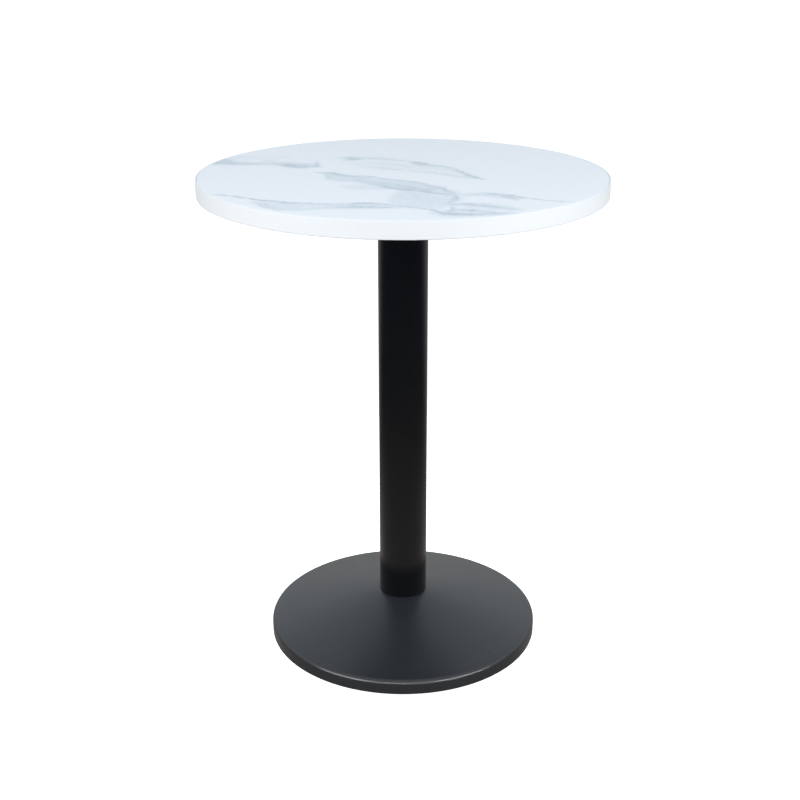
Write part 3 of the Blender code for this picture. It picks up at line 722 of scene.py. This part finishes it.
def board_material(finishes):
    """Pressed wood chips, pale and dark, in glue."""
    finish = Finish("particle_board", 0.85)
    chips = finish.cells(260.0, where=finish.stretched(1.0, 1.0, 3.2), output="Color")
    tone = finish.add("ShaderNodeSeparateColor", {0: chips}).outputs[0]
    base = finish.mottled(tone, finishes.chips, 0.55, 1.25)
    edge = finish.cells(260.0, where=finish.stretched(1.0, 1.0, 3.2))
    return finish.done(base, None, finish.bump(edge, 0.5, 0.0008))


# ---------------------------------------------------------------- the pieces
def settings():
    """The three groups of settings on the scene."""
    scene = bpy.context.scene
    return scene.table_sizes, scene.table_finishes, scene.table_stage


class TABLE_OT_marble_top(bpy.types.Operator):
    """Model the printed laminate sheet on the tabletop"""

    bl_idname = "bistro.marble_top"
    bl_label = "Marble top"

    def execute(self, context):
        sizes, finishes, _ = settings()
        radius, bottom, top = reach("marble_laminate")
        edge = sizes.laminate_break
        profile = [(0, bottom), (radius, bottom), (radius, top - edge), (radius - edge, top)]
        profile += [(radius * share, top) for share in (0.75, 0.5, 0.25, 0.0)]
        sheet, marble = turned(profile, FINE), marble_material(finishes)
        finish_piece("marble_sheet", sheet, marble, "marble_laminate")
        return {"FINISHED"}


class TABLE_OT_edge_band(bpy.types.Operator):
    """Model the white band, which meets itself in a butt joint at the back"""

    bl_idname = "bistro.edge_band"
    bl_label = "Edge band"

    def execute(self, context):
        sizes, finishes, _ = settings()
        radius, bottom, top = reach("edge_band")
        inner = reach("marble_laminate")[0] + GAP
        rounding = sizes.band_rounding
        outline = [(inner, top), (inner, bottom), *foot(radius, bottom, rounding, 6)]
        outline += upright(radius, bottom + rounding, top - rounding)
        outline += brim(radius, top, rounding, 6)
        joint = GAP * 0.6 / radius
        band = split_ring(outline, FINE, math.pi / 2 + joint / 2, math.tau - joint)
        finish_piece("white_edge_band", band, band_material(finishes), "edge_band")
        return {"FINISHED"}


class TABLE_OT_board(bpy.types.Operator):
    """Model the chipboard core and the dark sheet under it"""

    bl_idname = "bistro.board"
    bl_label = "Board and backer"

    def execute(self, context):
        finishes = settings()[1]
        core = cylinder(*reach("top_core"), FINE)
        finish_piece("chipboard_core", core, board_material(finishes), "top_core")
        radius, bottom, top = reach("backer_sheet")
        profile = [(radius * share, bottom) for share in (0.0, 0.35, 0.7, 1.0)]
        sheet = turned([*profile, (radius, top), (0, top)], FINE)
        paper = backer_material(finishes)
        finish_piece("dark_backer", sheet, paper, "backer_sheet")
        return {"FINISHED"}


class TABLE_OT_column(bpy.types.Operator):
    """Model the steel tube with its turned-in ends"""

    bl_idname = "bistro.column"
    bl_label = "Column"

    def execute(self, context):
        sizes, finishes, _ = settings()
        radius, bottom, top = reach("column_tube")
        inner = radius - sizes.tube_wall
        lip = sizes.tube_wall * 0.3
        profile = [(inner, top), (inner, bottom), *foot(radius, bottom, lip, 4)]
        profile += upright(radius, bottom + lip, top - lip)
        profile += brim(radius, top, lip, 4)
        # Painted shade: a tint of 0.36 darkens the shared black coat for the column.
        look = {"tint": 0.36, "roughness": 0.22, "specular": 0.5, "peel": 0.07, "dust_tint": 3.0}
        coat = coat_material(finishes, "column_coat_painted_shade", **look)
        finish_piece("column", turned(profile, MEDIUM), coat, "column_tube")
        return {"FINISHED"}


class TABLE_OT_base(bpy.types.Operator):
    """Model the domed base: shell, rim, hub, ribs and leveller bosses"""

    bl_idname = "bistro.base"
    bl_label = "Base"

    hub_radius = 0.0300
    hub_wall = 0.0070
    hub_web = 0.0120
    hub_foot = 0.0290
    edge = 0.0012
    fillet = 0.0060
    rim_chamfer = 0.0010
    rib_thickness = 0.0050
    rib_hollow = 0.0040
    rib_edge = 0.0010
    boss_wall = 0.0045
    boss_edge = 0.0008

    def execute(self, context):
        sizes, finishes, _ = settings()
        self.measure(sizes)
        body = turned(self.profile(sizes), MEDIUM)
        tools, holes = [], []
        for number in LEVELLERS:
            x, y = spot(f"leveller_stem_{number}")
            tools += [self.rib(math.atan2(y, x)), self.boss(x, y)]
            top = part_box(f"leveller_stem_{number}")[1].z + GAP
            hole = cylinder(self.stem_hole, self.boss_bottom - self.boss_wall, top)
            holes.append(moved_to(hole, x, y))
        body = combined(combined(body, tools, "UNION"), holes, "DIFFERENCE")
        # Painted light: a tint of 1.9 lightens the shared black coat for the base.
        look = {"tint": 1.9, "roughness": 0.31, "specular": 0.75, "peel": 0.12, "dust_tint": 11.0}
        coat = coat_material(finishes, "base_coat_painted_light", **look)
        finish_piece("domed_base", body, coat, "base_casting", sharp=26)
        return {"FINISHED"}

    def measure(self, sizes):
        """Takes the casting's places from the frame."""
        self.radius, self.floor, self.spigot_top = reach("base_casting")
        tube_radius, tube_bottom, _ = reach("column_tube")
        self.seat = tube_bottom - GAP
        self.seat_radius = tube_radius + sizes.seat_ledge
        self.band_top = self.floor + sizes.rim_band
        run = self.radius - sizes.shoulder - self.seat_radius
        rise = self.seat - self.band_top - sizes.shoulder
        self.slope = math.atan2(rise, run) + math.atan2(4 * sizes.crown, run)
        self.edge_radius = self.radius - sizes.shoulder * (1 - math.sin(self.slope))
        self.edge_height = self.band_top + sizes.shoulder * math.cos(self.slope)
        self.upright_wall = sizes.shell / math.cos(self.slope)
        self.crown = sizes.crown
        self.leveller_radius = math.hypot(*spot("leveller_stem_1"))
        self.stem_hole = STEM_RADIUS + GAP
        self.boss_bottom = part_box("leveller_pad_1")[1].z + GAP + HEXAGON_HEIGHT + GAP

    def dome(self, radius):
        """Height of the dome's outer face."""
        share = (self.edge_radius - radius) / (self.edge_radius - self.seat_radius)
        straight = self.edge_height + (self.seat - self.edge_height) * share
        return straight + 4 * self.crown * share * (1 - share)

    def ceiling(self, radius):
        """Height of the dome's inner face."""
        return self.dome(max(radius, self.seat_radius)) - self.upright_wall

    def middle(self, radius):
        """Height half way through the dome's wall."""
        return self.dome(radius) - self.upright_wall / 2

    def profile(self, sizes):
        """Outline of the casting from its hub's foot, under the dome, round the rim and up."""
        edge, fillet, chamfer = self.edge, self.fillet, self.rim_chamfer
        bore, spigot, cup = rod_bore(), spigot_radius(sizes), self.hub_radius - self.hub_wall
        hub_bottom = self.floor + self.hub_foot
        inner_rim = self.radius - sizes.rim_wall
        first, last = self.hub_radius + fillet, inner_rim - fillet
        points = [(bore, hub_bottom), *foot(self.hub_radius, hub_bottom, edge)]
        points += reversed(arc(first, self.ceiling(first) - fillet, fillet, 90, 180, 5))
        for step in range(1, 14):
            radius = first + (last - first) * step / 14
            points.append((radius, self.ceiling(radius)))
        points += reversed(arc(last, self.ceiling(last) - fillet, fillet, 0, 90, 5))
        points += [(inner_rim, self.floor + edge / 2), (inner_rim + edge / 2, self.floor)]
        points += foot(self.radius, self.floor, chamfer)
        points += upright(self.radius, self.floor + chamfer, self.band_top)
        sweep = 90 - math.degrees(self.slope)
        points += arc(self.radius - sizes.shoulder, self.band_top, sizes.shoulder, 0, sweep, 10)
        for step in range(1, 24):
            radius = self.edge_radius + (self.seat_radius - self.edge_radius) * step / 24
            points.append((radius, self.dome(radius)))
        points += [(self.seat_radius, self.seat - GAP), (spigot, self.seat - GAP)]
        points += [(spigot, self.spigot_top - edge), (spigot - edge, self.spigot_top)]
        points += [(cup, self.spigot_top), (cup, hub_bottom + self.hub_web)]
        return [*points, (bore, hub_bottom + self.hub_web)]

    def rib(self, angle):
        """The web from the hub to a leveller's boss, with a hollow lower edge."""
        inner, outer = self.hub_radius - self.hub_wall / 2, self.leveller_radius
        start = (self.hub_radius + self.hub_wall, self.floor + self.hub_foot + self.hub_wall)
        end = (outer, max(self.floor + 0.0060, self.boss_bottom + 0.0030))
        outline = [(inner, start[1]), *hollow_edge(start, end, self.rib_hollow, 8)]
        for radius in (outer, (outer + self.seat_radius) / 2, self.seat_radius):
            outline.append((radius, self.middle(radius)))
        outline.append((inner, self.middle(self.seat_radius)))
        return swung(softened(web(outline, 0.0, self.rib_thickness), self.rib_edge), angle)

    def boss(self, x, y):
        """A leveller's boss, whose top ends inside the dome's wall."""
        radius = self.stem_hole + self.boss_wall
        top = self.middle(self.leveller_radius)
        profile = [(0, self.boss_bottom), *foot(radius, self.boss_bottom, self.boss_edge)]
        shape = moved_to(turned([*profile, (radius, top), (0, top)], SMALL), x, y)
        for corner in shape.verts:
            if corner.co.z > top - WELD:
                corner.co.z = self.middle(corner.co.xy.length)
        return shape


class TABLE_OT_spider(bpy.types.Operator):
    """Model the cast bracket under the top, with its four ribbed arms"""

    bl_idname = "bistro.spider"
    bl_label = "Spider"

    arm_width = 0.034
    arm_plate = 0.0040
    rib_thickness = 0.0040
    rib_setback = 0.0010
    rib_depth = 0.0180
    rib_tip_depth = 0.0015
    rib_inset = 0.0260
    rib_hollow = 0.0030
    rib_edge = 0.0008
    plate_edge = 0.0007
    collar_height = 0.0240
    collar_margin = 0.0020
    socket_margin = 0.0020
    web_height = 0.0090
    edge = 0.0012

    def execute(self, context):
        sizes, finishes, _ = settings()
        _, bottom, top = reach("mounting_spider")
        collar = reach("column_tube")[0] + self.collar_margin
        collar_bottom = top - self.collar_height
        spigot, bore, edge = spigot_radius(sizes), rod_bore(), self.edge
        cup = spigot - sizes.tube_wall * 2
        socket = reach("tie_rod_top_washer")[0] + self.socket_margin
        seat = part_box("tie_rod_top_washer")[0].z - GAP
        profile = [(bore, seat - self.web_height), (cup, seat - self.web_height), (cup, bottom)]
        profile += [(spigot - edge, bottom), (spigot, bottom + edge), (spigot, collar_bottom)]
        profile += foot(collar, collar_bottom, edge)
        profile += [(collar, top), (socket, top), (socket, seat), (bore, seat)]
        arms = []
        for quarter in range(4):
            angle = math.pi / 4 + quarter * math.pi / 2
            arms += self.arm((socket + collar) / 2, collar, top, angle)
        body = combined(turned(profile, 96), arms, "UNION")
        holes = []
        for number in SCREWS:
            hole = cylinder(SCREW_RADIUS + GAP, top - 0.008, top + 0.004, 24)
            holes.append(moved_to(hole, *spot(f"spider_screw_{number}")))
        body = combined(body, holes, "DIFFERENCE")
        iron = casting_material(finishes)
        finish_piece("spider_bracket", body, iron, "mounting_spider")
        return {"FINISHED"}

    def arm(self, root, collar, top, angle):
        """A flat plate with a round tip, and the two tapering ribs under it."""
        half = self.arm_width / 2
        tip = (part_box("mounting_spider")[1].x - half) * math.sqrt(2) + half
        low = top - self.arm_plate
        outline = [(root, -half), *arc(tip - half, 0.0, half, -90, 90, 16), (root, half)]
        plate = extruded([(x, y, low) for x, y in outline], (0, 0, self.arm_plate))
        pieces = [swung(softened(plate, self.plate_edge, angle=60), angle)]
        end = tip - self.rib_inset
        inside = low + self.arm_plate / 2
        lower = hollow_edge(
            (collar, low - self.rib_depth), (end, low - self.rib_tip_depth), self.rib_hollow, 6
        )
        outline = [(root, inside), (root, low - self.rib_depth), *lower, (end, inside)]
        side = half - self.rib_setback - self.rib_thickness / 2
        for offset in (-side, side):
            rib = softened(web(outline, offset, self.rib_thickness), self.rib_edge)
            pieces.append(swung(rib, angle))
        return pieces


class TABLE_OT_screws(bpy.types.Operator):
    """Model the eight wood screws, each with a cross recess"""

    bl_idname = "bistro.screws"
    bl_label = "Spider screws"

    head_height = 0.0030
    head_rim = 0.0004
    recess_width = 0.0011
    recess_depth = 0.0018
    point = 0.0050
    turn_apart = 0.7  # radians between one screw's recess and the next

    def execute(self, context):
        sizes, finishes, _ = settings()
        zinc = zinc_material(finishes)
        for number in SCREWS:
            node = f"spider_screw_{number}"
            low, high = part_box(node)
            shape = self.screw((high.x - low.x) / 2, low.z, high.z, sizes.screw_pitch)
            shape = moved_to(swung(shape, number * self.turn_apart), *spot(node))
            finish_piece(f"wood_screw_{number}", shape, zinc, node)
        return {"FINISHED"}

    def screw(self, head, bottom, tip, pitch):
        """Pan head, threaded shank and point."""
        seat = bottom + self.head_height
        profile = [(0, bottom)]
        for angle in map(math.radians, (15, 30, 45, 60, 75)):
            profile.append((head * math.sin(angle), seat - self.head_height * math.cos(angle)))
        neck = SCREW_RADIUS * 0.9
        profile += [(head, seat - self.head_rim), (head, seat), (neck, seat), (neck, seat + 0.002)]
        body = turned([*profile, (0, seat + 0.002)], 32)
        wide, narrow = head * 0.52, head * 0.52 * 0.45
        mouth, bed = bottom - 0.001, bottom + self.recess_depth
        outline = [(-wide, mouth), (wide, mouth), (narrow, bed), (-narrow, bed)]
        cuts = [swung(web(outline, 0.0, self.recess_width), turn) for turn in (0, math.pi / 2)]
        thread = threaded(SCREW_RADIUS, THREAD_DEPTH, pitch, seat + 0.001, tip, 24)
        for corner in thread.verts:
            left = (tip - corner.co.z) / self.point
            if left < 1:
                corner.co.x *= max(0.06, left)
                corner.co.y *= max(0.06, left)
        return combined(combined(body, cuts, "DIFFERENCE"), [thread], "UNION")


def washer(node, bore, edge=0.0003):
    """A flat ring with rounded rims, of a node's size."""
    radius, bottom, top = reach(node)
    profile = [(bore, bottom), *foot(radius, bottom, edge), *brim(radius, top, edge)]
    return turned([*profile, (bore + edge, top), (bore, top - edge)], 64)


def hexagon_bar(across_flats, bottom, top, chamfer):
    """A six-sided bar whose corners are turned off at both ends."""
    corner = across_flats / math.sqrt(3)
    angles = [math.radians(60 * side) for side in range(6)]
    points = [(corner * math.cos(angle), corner * math.sin(angle), bottom) for angle in angles]
    bar = extruded(points, (0, 0, top - bottom))
    face, barrel = corner - chamfer * 1.8, corner + 0.0001
    profile = [(0, bottom), (face, bottom), (barrel, bottom + chamfer)]
    profile += [(barrel, top - chamfer), (face, top), (0, top)]
    return combined(bar, [turned(profile, SMALL)], "INTERSECT")


class TABLE_OT_tie_rod(bpy.types.Operator):
    """Model the tie rod with the nuts and washers at its ends"""

    bl_idname = "bistro.tie_rod"
    bl_label = "Tie rod"

    thread_length = 0.045
    thread_depth = 0.0010
    nut_chamfer = 0.0012

    def execute(self, context):
        sizes, finishes, _ = settings()
        zinc = zinc_material(finishes)
        radius, bottom, top = reach("tie_rod")
        bore = radius + GAP
        low, high = bottom + self.thread_length, top - self.thread_length
        rod = cylinder(radius - self.thread_depth * 0.4, low - 0.001, high + 0.001)
        end_radius = radius - END_CHAMFER
        ends = []
        for start, end in ((bottom, low), (high, top)):
            thread = threaded(radius, self.thread_depth, sizes.rod_pitch, start, end)
            ends.append(drawn_in(thread, lambda z: end_radius + min(z - bottom, top - z)))
        rod = combined(rod, ends, "UNION")
        finish_piece("threaded_rod", rod, zinc, "tie_rod")
        for name, node in (("top_nut", "tie_rod_top_nut"), ("lower_nut", "base_nut")):
            low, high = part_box(node)
            nut = hexagon_bar(high.y - low.y, low.z, high.z, self.nut_chamfer)
            hole = cylinder(bore, low.z - CUT_PAST, high.z + CUT_PAST)
            nut = combined(nut, [hole], "DIFFERENCE")
            finish_piece(name, nut, zinc, node)
        for name, node in (("top_washer", "tie_rod_top_washer"), ("hub_washer", "base_washer")):
            finish_piece(name, washer(node, bore), zinc, node)
        spring = self.spring_washer(bore)
        finish_piece("spring_washer", spring, zinc, "base_spring_washer")
        return {"FINISHED"}

    def spring_washer(self, bore, lift=0.00025, edge=0.0002):
        """A square-section ring, cut through and sprung by a little."""
        radius, bottom, top = reach("base_spring_washer")
        outline = foot(radius, bottom, edge, 2) + brim(radius, top - lift, edge, 2)
        outline += [(bore, top - lift), (bore, bottom)]
        return split_ring(outline, 64, 0.05, math.tau - 0.10, lift)


class TABLE_OT_levellers(bpy.types.Operator):
    """Model the four levelling screws and their nylon pads"""

    bl_idname = "bistro.levellers"
    bl_label = "Levellers"

    neck = 0.0045
    head = 0.0065
    head_thickness = 0.0022
    head_edge = 0.0003
    hexagon_chamfer = 0.0007
    sole = 0.0022
    sole_edge = 0.0008
    rounding = 0.0018
    lip_slack = 0.0007

    def execute(self, context):
        sizes, finishes, _ = settings()
        zinc, nylon = zinc_material(finishes), nylon_material(finishes)
        for number in LEVELLERS:
            pad_node, stem_node = f"leveller_pad_{number}", f"leveller_stem_{number}"
            place = spot(stem_node)
            pad = moved_to(self.pad(pad_node), *place)
            name, body = f"nylon_pad_{number}", f"pad_{number}"
            finish_piece(name, pad, nylon, pad_node, body)
            stem = moved_to(self.stem(pad_node, stem_node, sizes.stem_pitch), *place)
            name, body = f"levelling_screw_{number}", f"stem_{number}"
            finish_piece(name, stem, zinc, stem_node, body)
        return {"FINISHED"}

    def pad(self, node):
        """A round sole with wear rings, a pocket and the lip that holds the screw's head."""
        low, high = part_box(node)
        radius, bottom, top = (high.x - low.x) / 2, low.z, high.z
        pocket_top = self.sole + GAP + self.head_thickness + GAP
        pocket, lip = self.head + GAP, self.neck + self.lip_slack
        groove, bead = 0.0003, 0.0004
        profile = [(0, bottom)]
        for ring in (0.45, 0.68):
            start = radius * ring
            for step, depth in enumerate((0, groove, groove, 0)):
                profile.append((start + step * groove, bottom + depth))
        profile += foot(radius, bottom, self.sole_edge, 4) + brim(radius, top, self.rounding, 6)
        profile += [(lip + 3 * bead, top), (lip + bead, top - bead / 2), (lip, top - 2 * bead)]
        profile += [(lip, pocket_top), (pocket, pocket_top), (pocket, self.sole), (0, self.sole)]
        return turned(profile, 64)

    def stem(self, pad_node, stem_node, pitch):
        """The screw: a head in the pad, a neck, a wrench hexagon and a threaded shank."""
        low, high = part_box(stem_node)
        bottom, top, edge = low.z, high.z, self.head_edge
        hex_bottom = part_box(pad_node)[1].z + GAP
        hex_top = hex_bottom + HEXAGON_HEIGHT
        head_top = bottom + self.head_thickness
        middle = (hex_bottom + hex_top) / 2
        profile = [(0, bottom), *foot(self.head, bottom, edge, 2)]
        profile += brim(self.head, head_top, edge, 2)
        profile += [(self.neck, head_top), (self.neck, middle), (0, middle)]
        wrench = hexagon_bar(high.y - low.y, hex_bottom, hex_top, self.hexagon_chamfer)
        thread = threaded(STEM_RADIUS, THREAD_DEPTH, pitch, middle, top)
        drawn_in(thread, lambda z: STEM_RADIUS - END_CHAMFER + (top - z))
        return combined(turned(profile, SMALL), [wrench, thread], "UNION")


# ---------------------------------------------------------------- the stage
class TABLE_OT_stage(bpy.types.Operator):
    """Set the pale floor, the soft studio lights and the camera"""

    bl_idname = "bistro.stage"
    bl_label = "Stage"

    # (height of the direction, 0 down to 1 up, and the red, green and blue from there)
    front = (
        (0, 0.02, 0.02, 0.02), (0.2, 0.06, 0.058, 0.055), (0.235, 0.15, 0.138, 0.128),
        (0.25, 0.61, 0.56, 0.515), (0.275, 0.55, 0.505, 0.47), (0.3, 0.07, 0.068, 0.068),
        (0.33, 0.006, 0.008, 0.014), (0.38, 0.08, 0.095, 0.14), (0.45, 0.08, 0.092, 0.12),
        (0.49, 0.42, 0.44, 0.46), (0.55, 0.42, 0.44, 0.46), (0.6, 0.08, 0.085, 0.095),
        (0.74, 0.3, 0.32, 0.35), (0.9, 0.72, 0.76, 0.8), (1, 0.5, 0.53, 0.56),
    )
    back = (
        (0, 0.03, 0.03, 0.03), (0.25, 0.14, 0.137, 0.132), (0.38, 0.4, 0.4, 0.39),
        (0.48, 0.42, 0.42, 0.4), (0.6, 0.65, 0.67, 0.69), (0.75, 0.76, 0.82, 0.87),
        (0.86, 0.54, 0.58, 0.62), (1, 0.44, 0.46, 0.48),
    )

    def execute(self, context):
        stage = settings()[2]
        self.camera(stage)
        self.floor(stage)
        self.world()
        key = self.softbox("key", (0.1, -3.0, 2.45), (0, 0, 0.4), (1.8, 1.3), stage.key_power)
        key.visible_glossy = False
        for name, side in (("left", -1), ("right", 1)):
            place = (side * 2.8, -0.5, 1.6)
            box = self.softbox(name, place, (0, 0, 0.7), (1.6, 1.6), stage.side_power)
            box.visible_glossy = False
            self.low_softbox(f"low_{name}", (side * 2.12, -2.12, 0.05), stage.low_power)
        self.low_softbox("low_front", (0.0, -3.0, 0.05), stage.low_power / 2)
        self.softbox("overhead", (0.0, 0.3, 3.2), (0, 0, 0.5), (2.4, 1.8), stage.top_power)
        context.scene.view_settings.view_transform = "Standard"
        return {"FINISHED"}

    def camera(self, stage):
        data = bpy.data.cameras.new("camera")
        data.lens = stage.lens
        data.sensor_width = 36.0
        data.shift_x = -0.0038
        camera = linked("camera", data)
        camera.location = (0.0, -stage.distance, stage.height)
        camera.rotation_euler = (math.radians(90.0 - stage.pitch), 0.0, 0.0)
        bpy.context.scene.camera = camera

    def floor(self, stage):
        finish = Finish("pale_floor", 0.9, specular=0.0)
        finish.put(finish.shader.inputs["Emission Color"], (1.0, 1.0, 1.0))
        finish.put(finish.shader.inputs["Emission Strength"], 0.9)
        base = finish.mix(finish.noise(3.0), (0.90, 0.90, 0.90), (0.94, 0.94, 0.94))
        floor = linked("floor", meshed("floor", cylinder(stage.floor_radius, -0.010, 0, 128)))
        floor.data.materials.append(finish.done(base))
        floor.visible_glossy = False
        floor.visible_diffuse = False

    def world(self):
        """White to the camera. For light and reflections: bright above and behind, dim in front."""
        world = bpy.data.worlds.new("studio")
        world.use_nodes = True
        bpy.context.scene.world = world
        world.node_tree.nodes.clear()
        add = Nodes(world.node_tree).add
        way = add("ShaderNodeTexCoord").outputs["Generated"]
        up = add("ShaderNodeSeparateXYZ", {0: way}).outputs["Z"]
        level = add("ShaderNodeMapRange", {"Value": up, "From Min": -1.0}).outputs[0]
        away = {0: way, 1: (0.10, 1.0, 1.9)}
        away = add("ShaderNodeVectorMath", away, operation="DOT_PRODUCT").outputs["Value"]
        away = {"Value": away, "From Min": -0.43, "From Max": 0.32}
        behind = add("ShaderNodeMapRange", away, interpolation_type="SMOOTHSTEP").outputs[0]
        tones = {0: behind}
        for socket, stops in ((6, self.front), (7, self.back)):
            ramp = add("ShaderNodeValToRGB", {0: level})
            steps = ramp.color_ramp.elements
            for step, stop in ((steps[0], stops[0]), (steps[1], stops[-1])):
                step.position, step.color = stop[0], (*stop[1:], 1.0)
            for height, *tone in stops[1:-1]:
                steps.new(height).color = (*tone, 1.0)
            tones[socket] = ramp.outputs[0]
        tone = add("ShaderNodeMix", tones, data_type="RGBA").outputs[2]
        studio = add("ShaderNodeBackground", {"Color": tone}).outputs[0]
        seen = add("ShaderNodeBackground", {"Color": (1.0, 1.0, 1.0), "Strength": 1.2}).outputs[0]
        ray = add("ShaderNodeLightPath").outputs["Is Camera Ray"]
        light = add("ShaderNodeMixShader", {0: ray, 1: studio, 2: seen}).outputs[0]
        add("ShaderNodeOutputWorld", {"Surface": light})

    def softbox(self, name, place, target, size, power):
        light = bpy.data.lights.new(name, "AREA")
        light.shape = "RECTANGLE"
        light.size, light.size_y = size
        light.energy = power
        lamp = linked(name, light)
        lamp.location = place
        lamp.rotation_euler = (Vector(target) - Vector(place)).to_track_quat("-Z", "Y").to_euler()
        lamp.visible_camera = False
        return lamp

    def low_softbox(self, name, place, power):
        """A softbox near the floor, only for the sheen along the base's rim."""
        box = self.softbox(name, place, (0, 0, 0.05), (2.2, 0.5), power)
        box.visible_diffuse = False
        box.data.cycles.max_bounces = 0
        box.data.cycles.use_multiple_importance_sampling = False
        lit = bpy.data.collections.get("lit_from_low") or bpy.data.collections.new("lit_from_low")
        base = bpy.data.objects["domed_base"]
        if base.name not in lit.objects:
            lit.objects.link(base)
        box.light_linking.receiver_collection = lit


PIECES = (
    TABLE_OT_marble_top, TABLE_OT_edge_band, TABLE_OT_board, TABLE_OT_column, TABLE_OT_base,
    TABLE_OT_spider, TABLE_OT_screws, TABLE_OT_tie_rod, TABLE_OT_levellers, TABLE_OT_stage,
)
GROUPS = {"table_sizes": TableSizes, "table_finishes": TableFinishes, "table_stage": TableStage}


class TABLE_PT_panel(bpy.types.Panel):
    """The pieces, in the order they are made"""

    bl_idname = "TABLE_PT_panel"
    bl_label = "Bistro Table"
    bl_space_type = "VIEW_3D"
    bl_region_type = "UI"
    bl_category = "Bistro Table"

    def draw(self, context):
        for group, kind in GROUPS.items():
            box = self.layout.box()
            for field in kind.__annotations__:
                box.prop(getattr(context.scene, group), field)
        for piece in PIECES:
            self.layout.operator(piece.bl_idname)


def register():
    for item in (*GROUPS.values(), *PIECES, TABLE_PT_panel):
        bpy.utils.register_class(item)
    for name, group in GROUPS.items():
        setattr(bpy.types.Scene, name, bpy.props.PointerProperty(type=group))


def unregister():
    for name in GROUPS:
        delattr(bpy.types.Scene, name)
    for item in reversed((*GROUPS.values(), *PIECES, TABLE_PT_panel)):
        bpy.utils.unregister_class(item)


def main():
    register()
    bpy.ops.bistro.marble_top()
    bpy.ops.bistro.edge_band()
    bpy.ops.bistro.board()
    bpy.ops.bistro.column()
    bpy.ops.bistro.base()
    bpy.ops.bistro.spider()
    bpy.ops.bistro.screws()
    bpy.ops.bistro.tie_rod()
    bpy.ops.bistro.levellers()
    bpy.ops.bistro.stage()


if __name__ == "__main__":
    main()
